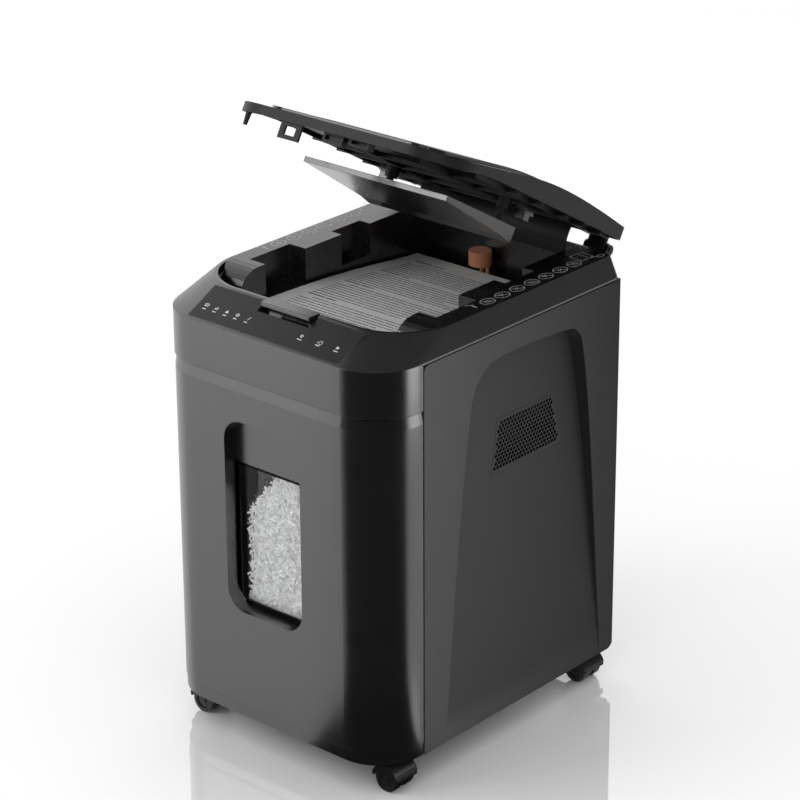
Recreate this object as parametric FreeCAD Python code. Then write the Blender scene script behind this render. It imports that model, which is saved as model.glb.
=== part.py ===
import FreeCAD, Part
import math
import os

V = FreeCAD.Vector

# Frame: millimetres, +Z up, front of the machine faces -Y.  Everything is drawn
# about the centre of the body's footprint and then moved by ORIGIN_Y, so that the
# origin is on the floor under the middle of the whole outline, open lid included.

# ---------------------------------------------------------------- dimensions
ORIGIN_Y = 11.36          # middle of the outline behind the middle of the body
HALF_W = 165.0            # half width of the body
HALF_D = 198.5            # half depth of the body
CORNER_R = 58.0           # vertical radius of both front corners
WALL = 3.0                # general wall of the plastic housings
BASE_Z0 = 35.0            # underside of the base, on the casters
BASE_Z1 = 49.0            # top of the base skirt
BIN_Z0 = 50.0             # bottom edge of the bin front
BIN_Z1 = 436.3            # top edge of the bin front
HEAD_Z0 = 437.8           # bottom edge of the head front band
BAND_Z = 490.0            # where the vertical band meets the sloping top
DECK_Z = 514.5            # top edge of the head housing
SEAM_Y = -134.0           # vertical seam between bin front and side panels
SEAM = 0.8                # half gap kept at the seams
PANEL_Z1 = 486.6          # top edge of the side panels
RECESS_TOP_Z = 455.0      # the side recess is deepest here and runs out to nothing at the base
RECESS_DEPTH = 15.0

RIM_FRONT_Y = -150.0      # front edge of the head opening
RIM_REAR_Y = 194.0        # rear edge of the sloping top
RIM_X = 156.5             # half width of the sloping top at deck level
RIM_R = 70.0              # plan radius of the opening's front corners
OPEN_X = 152.5            # half width of the opening that takes the paper tray
OPEN_Y0 = -146.0
OPEN_Y1 = 190.0

TRAY_RIM_Z = 515.5        # top of the flat side rims beside the paper
TAB_X = 109.5             # inner edge of the rims, beside the paper
POCKET_1 = (-77.0, -13.0, 133.0, 477.0)     # y0, y1, half width, floor height
POCKET_2 = (46.0, 93.5, 125.0, 479.0)
TRAY_WALL = 2.5
TRAY_FLOOR = [(-128.0, 466.0), (0.0, 464.0), (99.0, 455.5), (187.0, 444.5)]
PAPER_HALF = 105.0        # half the width of an A4 sheet
PAPER_TOP = [(-127.0, 480.0), (-74.0, 478.5), (5.5, 475.9), (99.0, 468.1), (169.4, 458.7)]
PAPER_REAR_Y = 169.4

WIN_X0, WIN_X1 = -60.5, 48.4    # bin window, seen from the front
WIN_Z0, WIN_Z1 = 164.0, 389.4
WIN_R = 25.0
PANE_Y = -182.6           # front of the pane, at the bottom of the window well
PANE_T = 2.5
PANE_TOP_Z = 334.0        # above this the well is closed by the finger plate

BUCKET_X = 135.0          # half width of the pull-out bucket
BUCKET_Y1 = 175.0
BUCKET_Z0 = 54.0
BUCKET_Z1 = 372.0
BUCKET_WALL = 2.5
BIN_FLANGE_Z = 353.6      # underside of the bucket's riding flange

HINGE_Y, HINGE_Z = 214.0, 508.0   # lid hinge axis
LID_OPEN = 30.4           # opening angle of the lid at rest, degrees
LID_N = 12.6              # lid underside above the hinge axis, measured on the closed lid
LID_HALF = 155.0
LID_T0, LID_T1 = 7.0, 356.0       # rear and front of the lid, from the hinge axis
LID_TOP = [(LID_T0, 13.6), (97.6, 21.4), (181.0, 21.3), (235.7, 15.0), (300.0, 6.4), (LID_T1, 1.3)]
LID_LOW = [(LID_T0, 0.0), (262.0, 0.0), (290.0, -2.0), (326.0, -7.6), (LID_T1, -9.3)]
LID_FRONT_R = 55.0
LID_REAR_R = 12.0
PLATE_HALF = 100.6        # press plate
PLATE_T0, PLATE_T1 = 131.0, 262.0
PLATE_TOP = -29.2         # its top below the lid underside
PLATE_PIN_X, PLATE_PIN_T = 80.0, 138.0
PLATE_PIN_R = 4.0
PLATE_RIBS = [-92.0 + 23.0 * i for i in range(9)]   # stiffening ribs in the hollow of the plate
PLATE_RIB_T = 1.6
FIT = 0.06                # radial clearance of the running fits
HINGE_X = (-120.0, 120.0)         # middle of each hinge
COVER_R, COVER_T = 44.0, 2.0      # lid's curved rear cover, around the hinge axis
COVER_HALF = TAB_X - 2.0
COVER_LOW = -29.0         # its lower end seen from the axis, lid closed, degrees
PRONG_X, PRONG_T = -131.0, 337.0  # prong that works the lid switch
PRONG_Y = HINGE_Y - PRONG_T       # where it comes down

CUT_Y = 16.5              # the cutter shafts stand at -CUT_Y and +CUT_Y
CUT_Z = 414.0
CUT_R = 19.4              # cutter discs
CUT_SPACER_R = 12.0
CUT_PITCH = 8.0
CUT_DISC = 3.4            # disc thickness
CUT_COUNT = 27
SHAFT_R = 6.0
MODULE = 1.5              # gear module
SYNC_TEETH = 22
MAIN_TEETH = 40
IDLER_SMALL = 18
IDLER_LARGE = 40
PINION_TEETH = 17
FEED_TEETH = 24
FEED_R = 14.3             # rubber feed rollers
FRAME_X = 116.0           # inner faces of the cutter frame plates
MECH_Z = 378.0            # underside of the mechanism deck

CASTER_X = 137.0
CASTER_FRONT_Y = -160.0
CASTER_REAR_Y = 168.0
WHEEL_R = 14.5
CASTER_TRAIL = 8.0        # axle offset from the swivel axis
STEM_R = 4.0
CASTER_TURN = -90.0       # how the casters stand, degrees from pointing straight back


# ------------------------------------------------------------------- helpers
def box(x0, x1, y0, y1, z0, z1):
    return Part.makeBox(x1 - x0, y1 - y0, z1 - z0, V(x0, y0, z0))


def cyl(axis, r, lo, hi, a, b):
    """Cylinder along 'x', 'y' or 'z'; a, b are the two other coordinates."""
    if axis == "x":
        return Part.makeCylinder(r, hi - lo, V(lo, a, b), V(1, 0, 0))
    if axis == "y":
        return Part.makeCylinder(r, hi - lo, V(a, lo, b), V(0, 1, 0))
    return Part.makeCylinder(r, hi - lo, V(a, b, lo), V(0, 0, 1))


def tube(axis, r_out, r_in, lo, hi, a, b):
    return cyl(axis, r_out, lo, hi, a, b).cut(cyl(axis, r_in, lo - 1, hi + 1, a, b))


def prism_yz(pts, x0, x1):
    w = Part.makePolygon([V(x0, y, z) for y, z in pts + pts[:1]])
    return Part.Face(w).extrude(V(x1 - x0, 0, 0))


def prism_xz(pts, y0, y1):
    w = Part.makePolygon([V(x, y0, z) for x, z in pts + pts[:1]])
    return Part.Face(w).extrude(V(0, y1 - y0, 0))


def fuse(shapes):
    out = shapes[0]
    if len(shapes) > 1:
        out = out.fuse(shapes[1:])
    return out.removeSplitter()


def group(shapes):
    return Part.makeCompound(shapes)


def arc(cx, cy, r, a0, a1, z):
    p = [V(cx + r * math.cos(math.radians(a)), cy + r * math.sin(math.radians(a)), z)
         for a in (a0, (a0 + a1) / 2.0, a1)]
    return Part.Arc(*p).toShape()


def plan_wire(x, y0, y1, rf, rr, z):
    """Closed outline: half width x, front corners rf at y0, rear corners rr at y1."""
    def line(a, b):
        return Part.makeLine(V(a[0], a[1], z), V(b[0], b[1], z))
    return Part.Wire([
        line((-x + rf, y0), (x - rf, y0)),
        arc(x - rf, y0 + rf, rf, -90, 0, z),
        line((x, y0 + rf), (x, y1 - rr)),
        arc(x - rr, y1 - rr, rr, 0, 90, z),
        line((x - rr, y1), (-x + rr, y1)),
        arc(-x + rr, y1 - rr, rr, 90, 180, z),
        line((-x, y1 - rr), (-x, y0 + rf)),
        arc(-x + rf, y0 + rf, rf, 180, 270, z)])


def plan_prism(x, y0, y1, rf, rr, z0, z1):
    return Part.Face(plan_wire(x, y0, y1, rf, rr, z0)).extrude(V(0, 0, z1 - z0))


def rounded_xz(x0, x1, z0, z1, r, y0, y1):
    """Rounded rectangle in the x-z plane, extruded from y0 to y1."""
    s = box(x0, x1, y0, y1, z0, z1)
    edges = [e for e in s.Edges
             if abs(e.Vertexes[0].X - e.Vertexes[1].X) < 1e-6
             and abs(e.Vertexes[0].Z - e.Vertexes[1].Z) < 1e-6]
    return s.makeFillet(r, edges)


def gear(teeth, x0, x1, y, z, turn=0.0, bore=0.0, backlash=0.10):
    """Spur gear on an axis along X, with involute flanks."""
    pressure = math.radians(20.0)
    rp = MODULE * teeth / 2.0
    rb = rp * math.cos(pressure)
    ra, rf = rp + MODULE, rp - 1.25 * MODULE

    def inv(a):
        return math.tan(a) - a
    half = math.pi / (2 * teeth) - backlash / (2 * rp) + inv(pressure)
    steps = 5
    radii = [max(rb, rf) + (ra - max(rb, rf)) * i / (steps - 1.0) for i in range(steps)]
    flank = [(r, half - inv(math.acos(min(1.0, rb / r)))) for r in radii]
    if rf < rb:
        flank.insert(0, (rf, half))
    pts = []
    for k in range(teeth):
        mid = math.radians(turn) + 2 * math.pi * k / teeth
        for r, a in flank:
            pts.append((y + r * math.cos(mid - a), z + r * math.sin(mid - a)))
        for r, a in reversed(flank):
            pts.append((y + r * math.cos(mid + a), z + r * math.sin(mid + a)))
    s = prism_yz(pts, x0, x1)
    if bore:
        s = s.cut(cyl("x", bore, x0 - 1, x1 + 1, y, z))
    return s


def lid_y(t):
    return HINGE_Y - t


def lid_z(n):
    return HINGE_Z + LID_N + n


def lid_prism(tn, x0, x1):
    """Section given as (distance from hinge, height over the lid underside)."""
    return prism_yz([(lid_y(t), lid_z(n)) for t, n in tn], x0, x1)


def opened(shape):
    """Everything of the lid is built closed and then swung to its rest angle."""
    s = shape.copy()
    s.rotate(V(0, HINGE_Y, HINGE_Z), V(1, 0, 0), -LID_OPEN)
    return s


# --------------------------------------------------------------- outer shell
def base_tray():
    front = plan_prism(HALF_W - 1.5, -HALF_D + 1.5, 0, CORNER_R - 1.5, 2, BASE_Z0, BASE_Z1)
    front = front.common(box(-200, 200, -200, SEAM_Y - SEAM, 0, 100))
    rear_x = HALF_W - WALL - 0.9
    rear = box(-rear_x, rear_x, SEAM_Y - SEAM, HALF_D - WALL - 0.3, BASE_Z0, BASE_Z1)
    s = front.fuse(rear)
    hollow_f = plan_prism(HALF_W - 4.5, -HALF_D + 4.5, 0, CORNER_R - 4.5, 2, BASE_Z0 + 3.5, 60)
    hollow_f = hollow_f.common(box(-200, 200, -200, SEAM_Y - 3, 0, 100))
    hollow_r = box(-rear_x + 3, rear_x - 3, SEAM_Y - 3, HALF_D - 7, BASE_Z0 + 3.5, 60)
    s = s.cut(hollow_f.fuse(hollow_r))
    for x, y in caster_points():
        s = s.cut(cyl("z", 9.0, 20, 60, x, y))
    return s.removeSplitter()


def recess_outline():
    """Side recess, as (y, z) on the side panel, with its corners rounded."""
    pts = [(-98.0, 38.5), (-80.3, 247.5), (-60.5, 406.0), (-53.5, 432.0), (-42.0, 448.0),
            (-14.3, 462.0), (110.0, 456.2), (122.0, 449.0), (131.5, 435.6), (146.0, 337.7),
            (162.4, 158.0), (173.2, 37.4)]
    for _ in range(2):
        cut = []
        for (ay, az), (by, bz) in zip(pts, pts[1:]):
            cut += [(0.75 * ay + 0.25 * by, 0.75 * az + 0.25 * bz),
                    (0.25 * ay + 0.75 * by, 0.25 * az + 0.75 * bz)]
        pts = [pts[0]] + cut + [pts[-1]]
    return pts


def shrink(pts, d):
    """Moves every corner of a convex-ish outline inwards by d."""
    n = len(pts)
    cy = sum(p[0] for p in pts) / n
    cz = sum(p[1] for p in pts) / n
    out = []
    for i in range(n):
        (ay, az), (by, bz), (ey, ez) = pts[i - 1], pts[i], pts[(i + 1) % n]
        u, v = (by - ay, bz - az), (ey - by, ez - bz)
        lu, lv = math.hypot(*u), math.hypot(*v)
        nu, nv = (u[1] / lu, -u[0] / lu), (v[1] / lv, -v[0] / lv)
        if nu[0] * (cy - by) + nu[1] * (cz - bz) < 0:
            nu = (-nu[0], -nu[1])
        if nv[0] * (cy - by) + nv[1] * (cz - bz) < 0:
            nv = (-nv[0], -nv[1])
        k = 1.0 + nu[0] * nv[0] + nu[1] * nv[1]
        out.append((by + d * (nu[0] + nv[0]) / k, bz + d * (nu[1] + nv[1]) / k))
    return out


def recess_x(z):
    """Floor of the recess on the right-hand side."""
    return HALF_W - RECESS_DEPTH * (z - BASE_Z0) / (RECESS_TOP_Z - BASE_Z0)


def recess_cutter(grow, deeper):
    """Tapered pocket, opening outwards, with its floor on the slanted plane."""
    outer = shrink(recess_outline(), -grow)
    inner = shrink(recess_outline(), 9.0 - grow)
    x_out, x_in = HALF_W + 0.01, HALF_W - RECESS_DEPTH - 5.0
    wo = Part.makePolygon([V(x_out, y, z) for y, z in outer + outer[:1]])
    wi = Part.makePolygon([V(x_in, y, z) for y, z in inner + inner[:1]])
    body = Part.makeLoft([wo, wi], True, True)
    z0, z1 = -20.0, 560.0
    slab = prism_xz([(recess_x(z0) - deeper, z0), (HALF_W + 40, z0), (HALF_W + 40, z1),
                     (recess_x(z1) - deeper, z1)], -250, 250)
    return body.common(slab)


def vent_outline(grow=0.0):
    pts = [(-13.2, 318.0), (0.0, 381.7), (94.5, 379.5), (107.3, 319.5)]
    return shrink(pts, -grow)


def side_panel(side):
    y0, y1, z0, z1 = SEAM_Y + SEAM, HALF_D, BASE_Z0, PANEL_Z1
    s = box(HALF_W - WALL, HALF_W, y0, y1, z0, z1)
    s = s.fuse(box(HALF_W - 15, HALF_W, y1 - WALL, y1, z0, z1)).removeSplitter()
    tall = [e for e in s.Edges if abs(e.Vertexes[0].X - HALF_W) < 1e-6
            and abs(e.Vertexes[-1].X - HALF_W) < 1e-6
            and abs(e.Vertexes[0].Y - y1) < 1e-6 and abs(e.Vertexes[-1].Y - y1) < 1e-6
            and abs(e.Vertexes[0].Z - e.Vertexes[-1].Z) > 100]
    s = s.makeFillet(2.9, tall)
    s = s.fuse(recess_cutter(WALL, WALL).common(box(0, HALF_W, y0, y1, z0, z1)))
    s = s.cut(recess_cutter(0.0, 0.0))
    # opening behind the vent grille
    s = s.cut(prism_yz(vent_outline(0.1), HALF_W - 30, HALF_W + 5))
    # rounded lower rear corner and upper front corner, seen from the side
    for cy, cz, r, sy, sz in ((y1, z0, 12.0, 1, -1), (y0, z1, 8.0, -1, 1)):
        corner = box(100, 200, min(cy, cy - sy * r), max(cy, cy - sy * r),
                     min(cz, cz - sz * r), max(cz, cz - sz * r))
        corner = corner.cut(cyl("x", r, 90, 210, cy - sy * r, cz - sz * r))
        s = s.cut(corner)
    s = s.removeSplitter()
    if side < 0:
        s = s.mirror(V(0, 0, 0), V(1, 0, 0))
    return s


def vent_grille(side):
    """Thin plate full of staggered round holes, lying on the slanted recess floor."""
    tilt = math.atan(RECESS_DEPTH / (RECESS_TOP_Z - BASE_Z0))
    zc = 350.0
    frame = vent_outline(-0.05)
    wires = [Part.makePolygon([V(0, y, z) for y, z in frame + frame[:1]])]
    pitch, hole = 5.2, 2.05
    inside = vent_outline(-3.6)
    rows = int(64.0 / (pitch * 0.866))
    holes = []
    for i in range(rows):
        z = 321.0 + i * pitch * 0.866
        left = min(p[0] for p in inside)
        for k in range(26):
            y = left + (k + 0.5 * (i % 2)) * pitch
            if contains(inside, y, z):
                holes.append(Part.Wire(Part.makeCircle(hole, V(0, y, z), V(1, 0, 0))))
    face = Part.Face(wires + holes)
    s = face.extrude(V(-1.6, 0, 0))
    s.translate(V(recess_x(zc) + 0.1, 0, 0))
    s.rotate(V(recess_x(zc) + 0.1, 0, zc), V(0, 1, 0), -math.degrees(tilt))
    if side < 0:
        s = s.mirror(V(0, 0, 0), V(1, 0, 0))
    return s


def contains(pts, y, z):
    n = len(pts)
    sign = 0
    for i in range(n):
        (ay, az), (by, bz) = pts[i], pts[(i + 1) % n]
        c = (by - ay) * (z - az) - (bz - az) * (y - ay)
        if c != 0:
            if sign and (c > 0) != (sign > 0):
                return False
            sign = c
    return True


def rear_panel():
    x = HALF_W - 15 - 0.3
    y0, y1 = HALF_D - WALL, HALF_D
    s = box(-x, x, y0, y1, BASE_Z0 + 2, PANEL_Z1)
    s = s.cut(box(-122, -78, y0 - 1, y1 + 1, 72, 132))
    for i in range(9):
        z = 300.0 + i * 9.0
        s = s.cut(box(-60, 60, y0 - 1, y1 + 1, z, z + 4))
    for x, z in screw_points():
        s = s.cut(cyl("y", 2.0, y0 - 1, y1 + 1, x, z))
    return s


def screw_points():
    return [(sx * 138.0, z) for sx in (-1, 1) for z in (60.0, 250.0, 470.0)]


def panel_screws():
    out = []
    for x, z in screw_points():
        head = cyl("y", 3.6, HALF_D, HALF_D + 1.8, x, z)
        head = head.cut(box(x - 2.6, x + 2.6, HALF_D + 1.0, HALF_D + 3, z - 0.4, z + 0.4))
        head = head.cut(box(x - 0.4, x + 0.4, HALF_D + 1.0, HALF_D + 3, z - 2.6, z + 2.6))
        out.append(head.fuse(cyl("y", 1.98, HALF_D - 9, HALF_D, x, z)))
    return group(out)


def head_shape(off, z_low, top_off=None):
    """Band plus sloping top, shrunk inwards by off, and by top_off at deck level."""
    t = off if top_off is None else top_off
    low = plan_wire(HALF_W - off, -HALF_D + off, HALF_D - off, CORNER_R - off, 12 - off, BAND_Z)
    top = plan_wire(RIM_X - t, RIM_FRONT_Y + t, RIM_REAR_Y - t, RIM_R - t, 10 - t, DECK_Z)
    slope = Part.makeLoft([low, top], True, True)
    band = plan_prism(HALF_W - off, -HALF_D + off, HALF_D - off, CORNER_R - off, 12 - off,
                      z_low, BAND_Z)
    return band, slope


def head_housing():
    band, slope = head_shape(0.0, HEAD_Z0)
    front = band.common(box(-200, 200, -250, SEAM_Y - SEAM, 400, 600))
    rear = band.common(box(-200, 200, SEAM_Y - SEAM, 250, PANEL_Z1 + 1.4, 600))
    s = front.fuse([rear, slope])
    iband, islope = head_shape(WALL, HEAD_Z0 - 1, 2 * WALL)
    islope.translate(V(0, 0, -WALL * 0.8))
    s = s.cut(iband.common(box(-200, 200, -250, 250, 400, BAND_Z - WALL * 0.8)))
    s = s.cut(islope)
    s = s.cut(plan_prism(OPEN_X, OPEN_Y0, OPEN_Y1, RIM_R - 4, 6, BAND_Z - 5, 600))
    # recess under and around the latch pad
    s = s.cut(box(-37.5, 35.5, -166.0, -140.0, 503.0, 600))
    well = box(-40.0, 38.0, -168.5, -147.5, 500.5, 510.0).cut(
        box(-37.5, 35.5, -166.0, -140.0, 503.0, 600))
    solid = head_shape(0.5, HEAD_Z0)[1]
    s = s.fuse(well.common(solid))
    return s.cut(panel_blank(0.0, 3.0)).removeSplitter()


def slope_z(y):
    """Height of the sloping top over the middle of the front."""
    k = (y + HALF_D) / (RIM_FRONT_Y + HALF_D)
    return BAND_Z + k * (DECK_Z - BAND_Z)


def panel_blank(clear, above=0.0):
    """Thin slab lying in the slope; above lifts its outer face clear of it, for cutting."""
    y0, y1, t = -195.0, -152.5, 0.9
    n = math.hypot(RIM_FRONT_Y + HALF_D, DECK_Z - BAND_Z)
    dy, dz = -(DECK_Z - BAND_Z) / n, (RIM_FRONT_Y + HALF_D) / n
    pts = [(y + dy * d, slope_z(y) + dz * d) for y, d in ((y0, above), (y1, above), (y1, -t), (y0, -t))]
    s = prism_yz(pts, -112.0 + clear, 103.0 - clear)
    return s


def control_panel():
    s = panel_blank(0.15)
    return s.cut(box(-38.0, 36.0, -166.5, -140.0, 480, 600))


def latch_pad():
    s = box(-36.0, 34.0, -163.0, -146.5, 510.2, 515.8)
    front = [e for e in s.Edges if abs(e.Vertexes[0].Y + 163.0) < 1e-6
             and abs(e.Vertexes[-1].Y + 163.0) < 1e-6]
    s = s.makeFillet(1.8, front)
    stem = box(-20, 18, -148.9, -146.5, 507.5, 511)
    return s.fuse(stem).removeSplitter()


# ------------------------------------------------------------ tray and paper
def tray_floor_z(y):
    return interp(TRAY_FLOOR, y)


def interp(table, y):
    for (a, za), (b, zb) in zip(table, table[1:]):
        if y <= b:
            return za + (zb - za) * (y - a) / (b - a)
    return table[-1][1]


def tray_pockets(grow):
    """Spaces of the tray; grown, they give the outside of its walls."""
    g = grow
    main = [(y, z - g) for y, z in TRAY_FLOOR]
    main[0] = (main[0][0] - g, main[0][1])
    main[-1] = (main[-1][0] + g, main[-1][1])
    top = 530.0 if g == 0 else TRAY_RIM_Z
    s = prism_yz(main + [(main[-1][0], top), (main[0][0], top)], -TAB_X - g, TAB_X + g)
    for y0, y1, hx, z in (POCKET_1, POCKET_2):
        s = s.fuse(box(-hx - g, hx + g, y0 - g, y1 + g, z - g, top))
    shelf = plan_prism(OPEN_X - 3.5 + g, OPEN_Y0 + 3.5 - g, 60.0, RIM_R - 8 + g, 1, 474.0 - g, top)
    return s.fuse(shelf.common(box(-200, 200, -200, -88.0 + g, 400, 600)))


def waterfall(grow):
    """Side rims rolling down towards the front corners."""
    g = grow
    pts = [(-86.0, 470.0), (-86.0, TRAY_RIM_Z - g)]
    for i in range(1, 9):
        a = math.radians(90.0 + i * 90.0 / 8)
        pts.append((-88.0 + (32.0 - g) * math.cos(a), TRAY_RIM_Z - 34.0 + (34.0 - g) * math.sin(a)))
    pts.append((-88.0 - 32.0 + g, 470.0))
    s = prism_yz(pts, TAB_X + g, OPEN_X - 0.3 - g)
    return s.fuse(s.mirror(V(0, 0, 0), V(1, 0, 0)))


def whole_tray():
    outer = tray_pockets(TRAY_WALL)
    rim = box(-OPEN_X + 0.3, OPEN_X - 0.3, -88.0, OPEN_Y1 - 0.3, TRAY_RIM_Z - 3, TRAY_RIM_Z)
    limit = plan_prism(OPEN_X - 0.3, OPEN_Y0 + 0.3, OPEN_Y1 - 0.3, RIM_R - 4.3, 5.7, 430, TRAY_RIM_Z)
    front_cut = box(-200, 200, -200, -88.0, 508.0, 600)
    s = outer.fuse(rim).cut(front_cut)
    roll = waterfall(0.0).cut(waterfall(TRAY_WALL))
    s = s.cut(tray_pockets(0.0))
    s = s.fuse(roll).common(limit)
    # feed roller windows and the throat down to the cutters
    for x in (-60.0, 60.0):
        s = s.cut(box(x - 16, x + 16, -30.0, -3.0, 440, 470))
    s = s.cut(box(-108.0, 108.0, 0.5, 8.5, 440, 470))
    # small slot in the right-hand rim
    s = s.cut(box(111.0, 125.0, 84.0, 87.0, 505, 520))
    # slot that the lid's prong drops into, with the switch plunger's hole in its floor
    s = s.cut(box(PRONG_X - 4.0, PRONG_X + 4.0, PRONG_Y - 4.5, PRONG_Y + 6.0, 474.0, 520.0))
    s = s.cut(cyl("z", 2.3, 470.0, 475.0, PRONG_X, PRONG_Y))
    return s.removeSplitter()


def paper_tray():
    """Floor, front wall and rear well, between the two side guides."""
    return whole_tray().common(box(-TAB_X, TAB_X, -200.0, 200.0, 430.0, 530.0)).removeSplitter()


def tray_guides():
    """Left and right side walls with their pockets, rims and rolled front corners."""
    s = whole_tray()
    return group([s.common(box(x0, x1, -200.0, 200.0, 430.0, 530.0)).removeSplitter()
                  for x0, x1 in ((-200.0, -TAB_X), (TAB_X, 200.0))])


def paper_stack():
    low = [(y, tray_floor_z(y) + 0.5) for y in (-127.0, 0.0, 99.0, PAPER_REAR_Y)]
    top = list(reversed(PAPER_TOP))
    return prism_yz(low + top, -PAPER_HALF, PAPER_HALF)


def paper_stop():
    """Round cap on two slim posts behind the paper."""
    z0 = tray_floor_z(170.4) + 0.3
    cap = cyl("z", 13.5, 467.0, 484.5, -14.5, 172.8)
    rims = [e for e in cap.Edges if abs(e.BoundBox.ZMin - e.BoundBox.ZMax) < 1e-6]
    cap = cap.makeFillet(1.5, rims)
    posts = [cyl("z", 2.4, z0, 468.0, x, 172.8) for x in (-12.5, -4.0)]
    foot = prism_yz([(169.9, tray_floor_z(169.9)), (180.0, tray_floor_z(180.0)),
                     (180.0, tray_floor_z(180.0) + 1.5), (169.9, tray_floor_z(169.9) + 1.5)], -20, 3)
    return fuse([cap, foot] + posts)


def lid_switch():
    body = box(PRONG_X - 5.0, PRONG_X + 5.0, PRONG_Y - 6.0, PRONG_Y + 6.0, 458.0, 469.8)
    return body.fuse(cyl("z", 2.0, 469.8, 492.0, PRONG_X, PRONG_Y)).removeSplitter()


def control_board():
    plate = box(-96.0, 96.0, -190.0, -156.0, 470.0, 471.6)
    parts = [plate, box(-80, -50, -184, -164, 471.6, 477), box(-20, 20, -186, -168, 471.6, 475),
             box(50, 66, -180, -162, 471.6, 480)]
    for x in (-88.0, 88.0):
        parts.append(box(x - 3, x + 3, -195.5, -190.0, 466.0, 474.0))
    return fuse(parts)


# ----------------------------------------------------------------- mechanism
def frame_plate(side):
    y1 = 62.0 if side < 0 else 140.0
    x0, x1 = (-FRAME_X - WALL, -FRAME_X) if side < 0 else (FRAME_X, FRAME_X + WALL)
    s = box(x0, x1, -46.0, y1, MECH_Z + 2.5, 459.0)
    if side > 0:
        s = s.cut(box(x0 - 1, x1 + 1, 60.0, 141.0, 446.0, 470.0))
    for y in (-CUT_Y, CUT_Y):
        s = s.cut(cyl("x", SHAFT_R + FIT, x0 - 1, x1 + 1, y, CUT_Z))
    s = s.cut(cyl("x", STEM_R + FIT, x0 - 1, x1 + 1, -CUT_Y, feed_z()))
    for y, z in tie_points():
        s = s.cut(cyl("x", 3.0, x0 - 1, x1 + 1, y, z))
    if side > 0:
        s = s.cut(cyl("x", 9.0, x0 - 1, x1 + 1, motor_y(), CUT_Z))
        stud = cyl("x", 4.0, x1, 141.0, idler_y(), CUT_Z)
        s = s.fuse(stud)
    s = s.fuse(box(x0 if side > 0 else x0 - 8, x1 + 8 if side > 0 else x1, -46.0, -38.0,
                   MECH_Z + 2.5, MECH_Z + 5.0))
    return s.removeSplitter()


def feed_z():
    return CUT_Z + MODULE * FEED_TEETH


def idler_y():
    return CUT_Y + MODULE * (MAIN_TEETH + IDLER_SMALL) / 2.0


def motor_y():
    return idler_y() + MODULE * (IDLER_LARGE + PINION_TEETH) / 2.0


def tie_points():
    return [(-41.0, 392.0), (-41.0, 440.0), (50.0, 392.0), (50.0, 444.0)]


def tie_rods():
    return group([cyl("x", 2.98, -FRAME_X - WALL - 1, FRAME_X + WALL + 1, y, z)
                  for y, z in tie_points()])


def scraper_bars():
    """Bars outside both cutters; their fingers reach between the discs."""
    out = []
    for side in (-1, 1):
        y0 = side * (CUT_Y + CUT_R + 1.6)
        s = box(-FRAME_X + 0.2, FRAME_X - 0.2, min(y0, y0 + side * 3), max(y0, y0 + side * 3), 402, 426)
        fingers = []
        shift = 0.0 if side < 0 else CUT_PITCH / 2.0
        for i in range(CUT_COUNT - 1):
            x = disc_x(i) + shift + CUT_PITCH / 2.0
            ya, yb = side * (CUT_Y + CUT_SPACER_R + 0.8), y0 + side
            fingers.append(box(x - 1.6, x + 1.6, min(ya, yb), max(ya, yb), 408, 420))
        out.append(s.fuse(fingers).removeSplitter())
    return group(out)


def disc_x(i):
    return (i - (CUT_COUNT - 1) / 2.0) * CUT_PITCH - CUT_PITCH / 4.0


def cutter(side):
    """Shaft with toothed discs, the two shafts' discs running between each other."""
    y = side * CUT_Y
    shift = 0.0 if side < 0 else CUT_PITCH / 2.0
    prof = [V(-FRAME_X + 0.4, y, CUT_Z + CUT_SPACER_R), V(FRAME_X - 0.4, y, CUT_Z + CUT_SPACER_R)]
    core = cyl("x", CUT_SPACER_R, prof[0].x, prof[1].x, y, CUT_Z)
    x_lo, x_hi = (-128.6, 128.0) if side < 0 else (-122.0, 134.6)
    axle = cyl("x", SHAFT_R, x_lo, x_hi, y, CUT_Z)
    discs = []
    n = 12
    for i in range(CUT_COUNT):
        x = disc_x(i) + shift
        ring = []
        for k in range(2 * n):
            a = 2 * math.pi * (k + 0.45 * i) / (2 * n)
            r = CUT_R if k % 2 == 0 else CUT_R - 2.4
            ring.append((y + r * math.cos(a), CUT_Z + r * math.sin(a)))
        discs.append(prism_yz(ring, x - CUT_DISC / 2, x + CUT_DISC / 2))
    return core.fuse([axle] + discs)


def front_gears():
    return group([gear(SYNC_TEETH, 121.0, 127.0, -CUT_Y, CUT_Z, 0.0, SHAFT_R),
                  gear(FEED_TEETH, -127.5, -121.5, -CUT_Y, CUT_Z, 90.0, SHAFT_R)])


def rear_gears():
    half_tooth = 180.0 / SYNC_TEETH
    return group([gear(SYNC_TEETH, 121.0, 127.0, CUT_Y, CUT_Z, 180.0 + half_tooth, SHAFT_R),
                  gear(MAIN_TEETH, 128.5, 134.0, CUT_Y, CUT_Z, 0.0, SHAFT_R)])


def idler_gear():
    a = gear(IDLER_SMALL, 128.5, 134.8, idler_y(), CUT_Z, 180.0 + 180.0 / IDLER_SMALL)
    b = gear(IDLER_LARGE, 134.8, 139.8, idler_y(), CUT_Z, 0.0)
    return a.fuse(b).cut(cyl("x", 4.0 + FIT, 120, 145, idler_y(), CUT_Z)).removeSplitter()


def motor_pinion():
    g = gear(PINION_TEETH, 134.8, 140.0, motor_y(), CUT_Z, 180.0 + 180.0 / PINION_TEETH)
    return g.fuse(cyl("x", 3.5, 113.6, 134.8, motor_y(), CUT_Z)).removeSplitter()


def motor():
    can = cyl("x", 28.0, 8.0, 112.6, motor_y(), CUT_Z)
    boss = cyl("x", 10.0, 2.0, 8.0, motor_y(), CUT_Z)
    foot = box(20.0, 100.0, motor_y() - 20, motor_y() + 20, MECH_Z + 2.5, CUT_Z - 20)
    return fuse([can, boss, foot])


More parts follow.
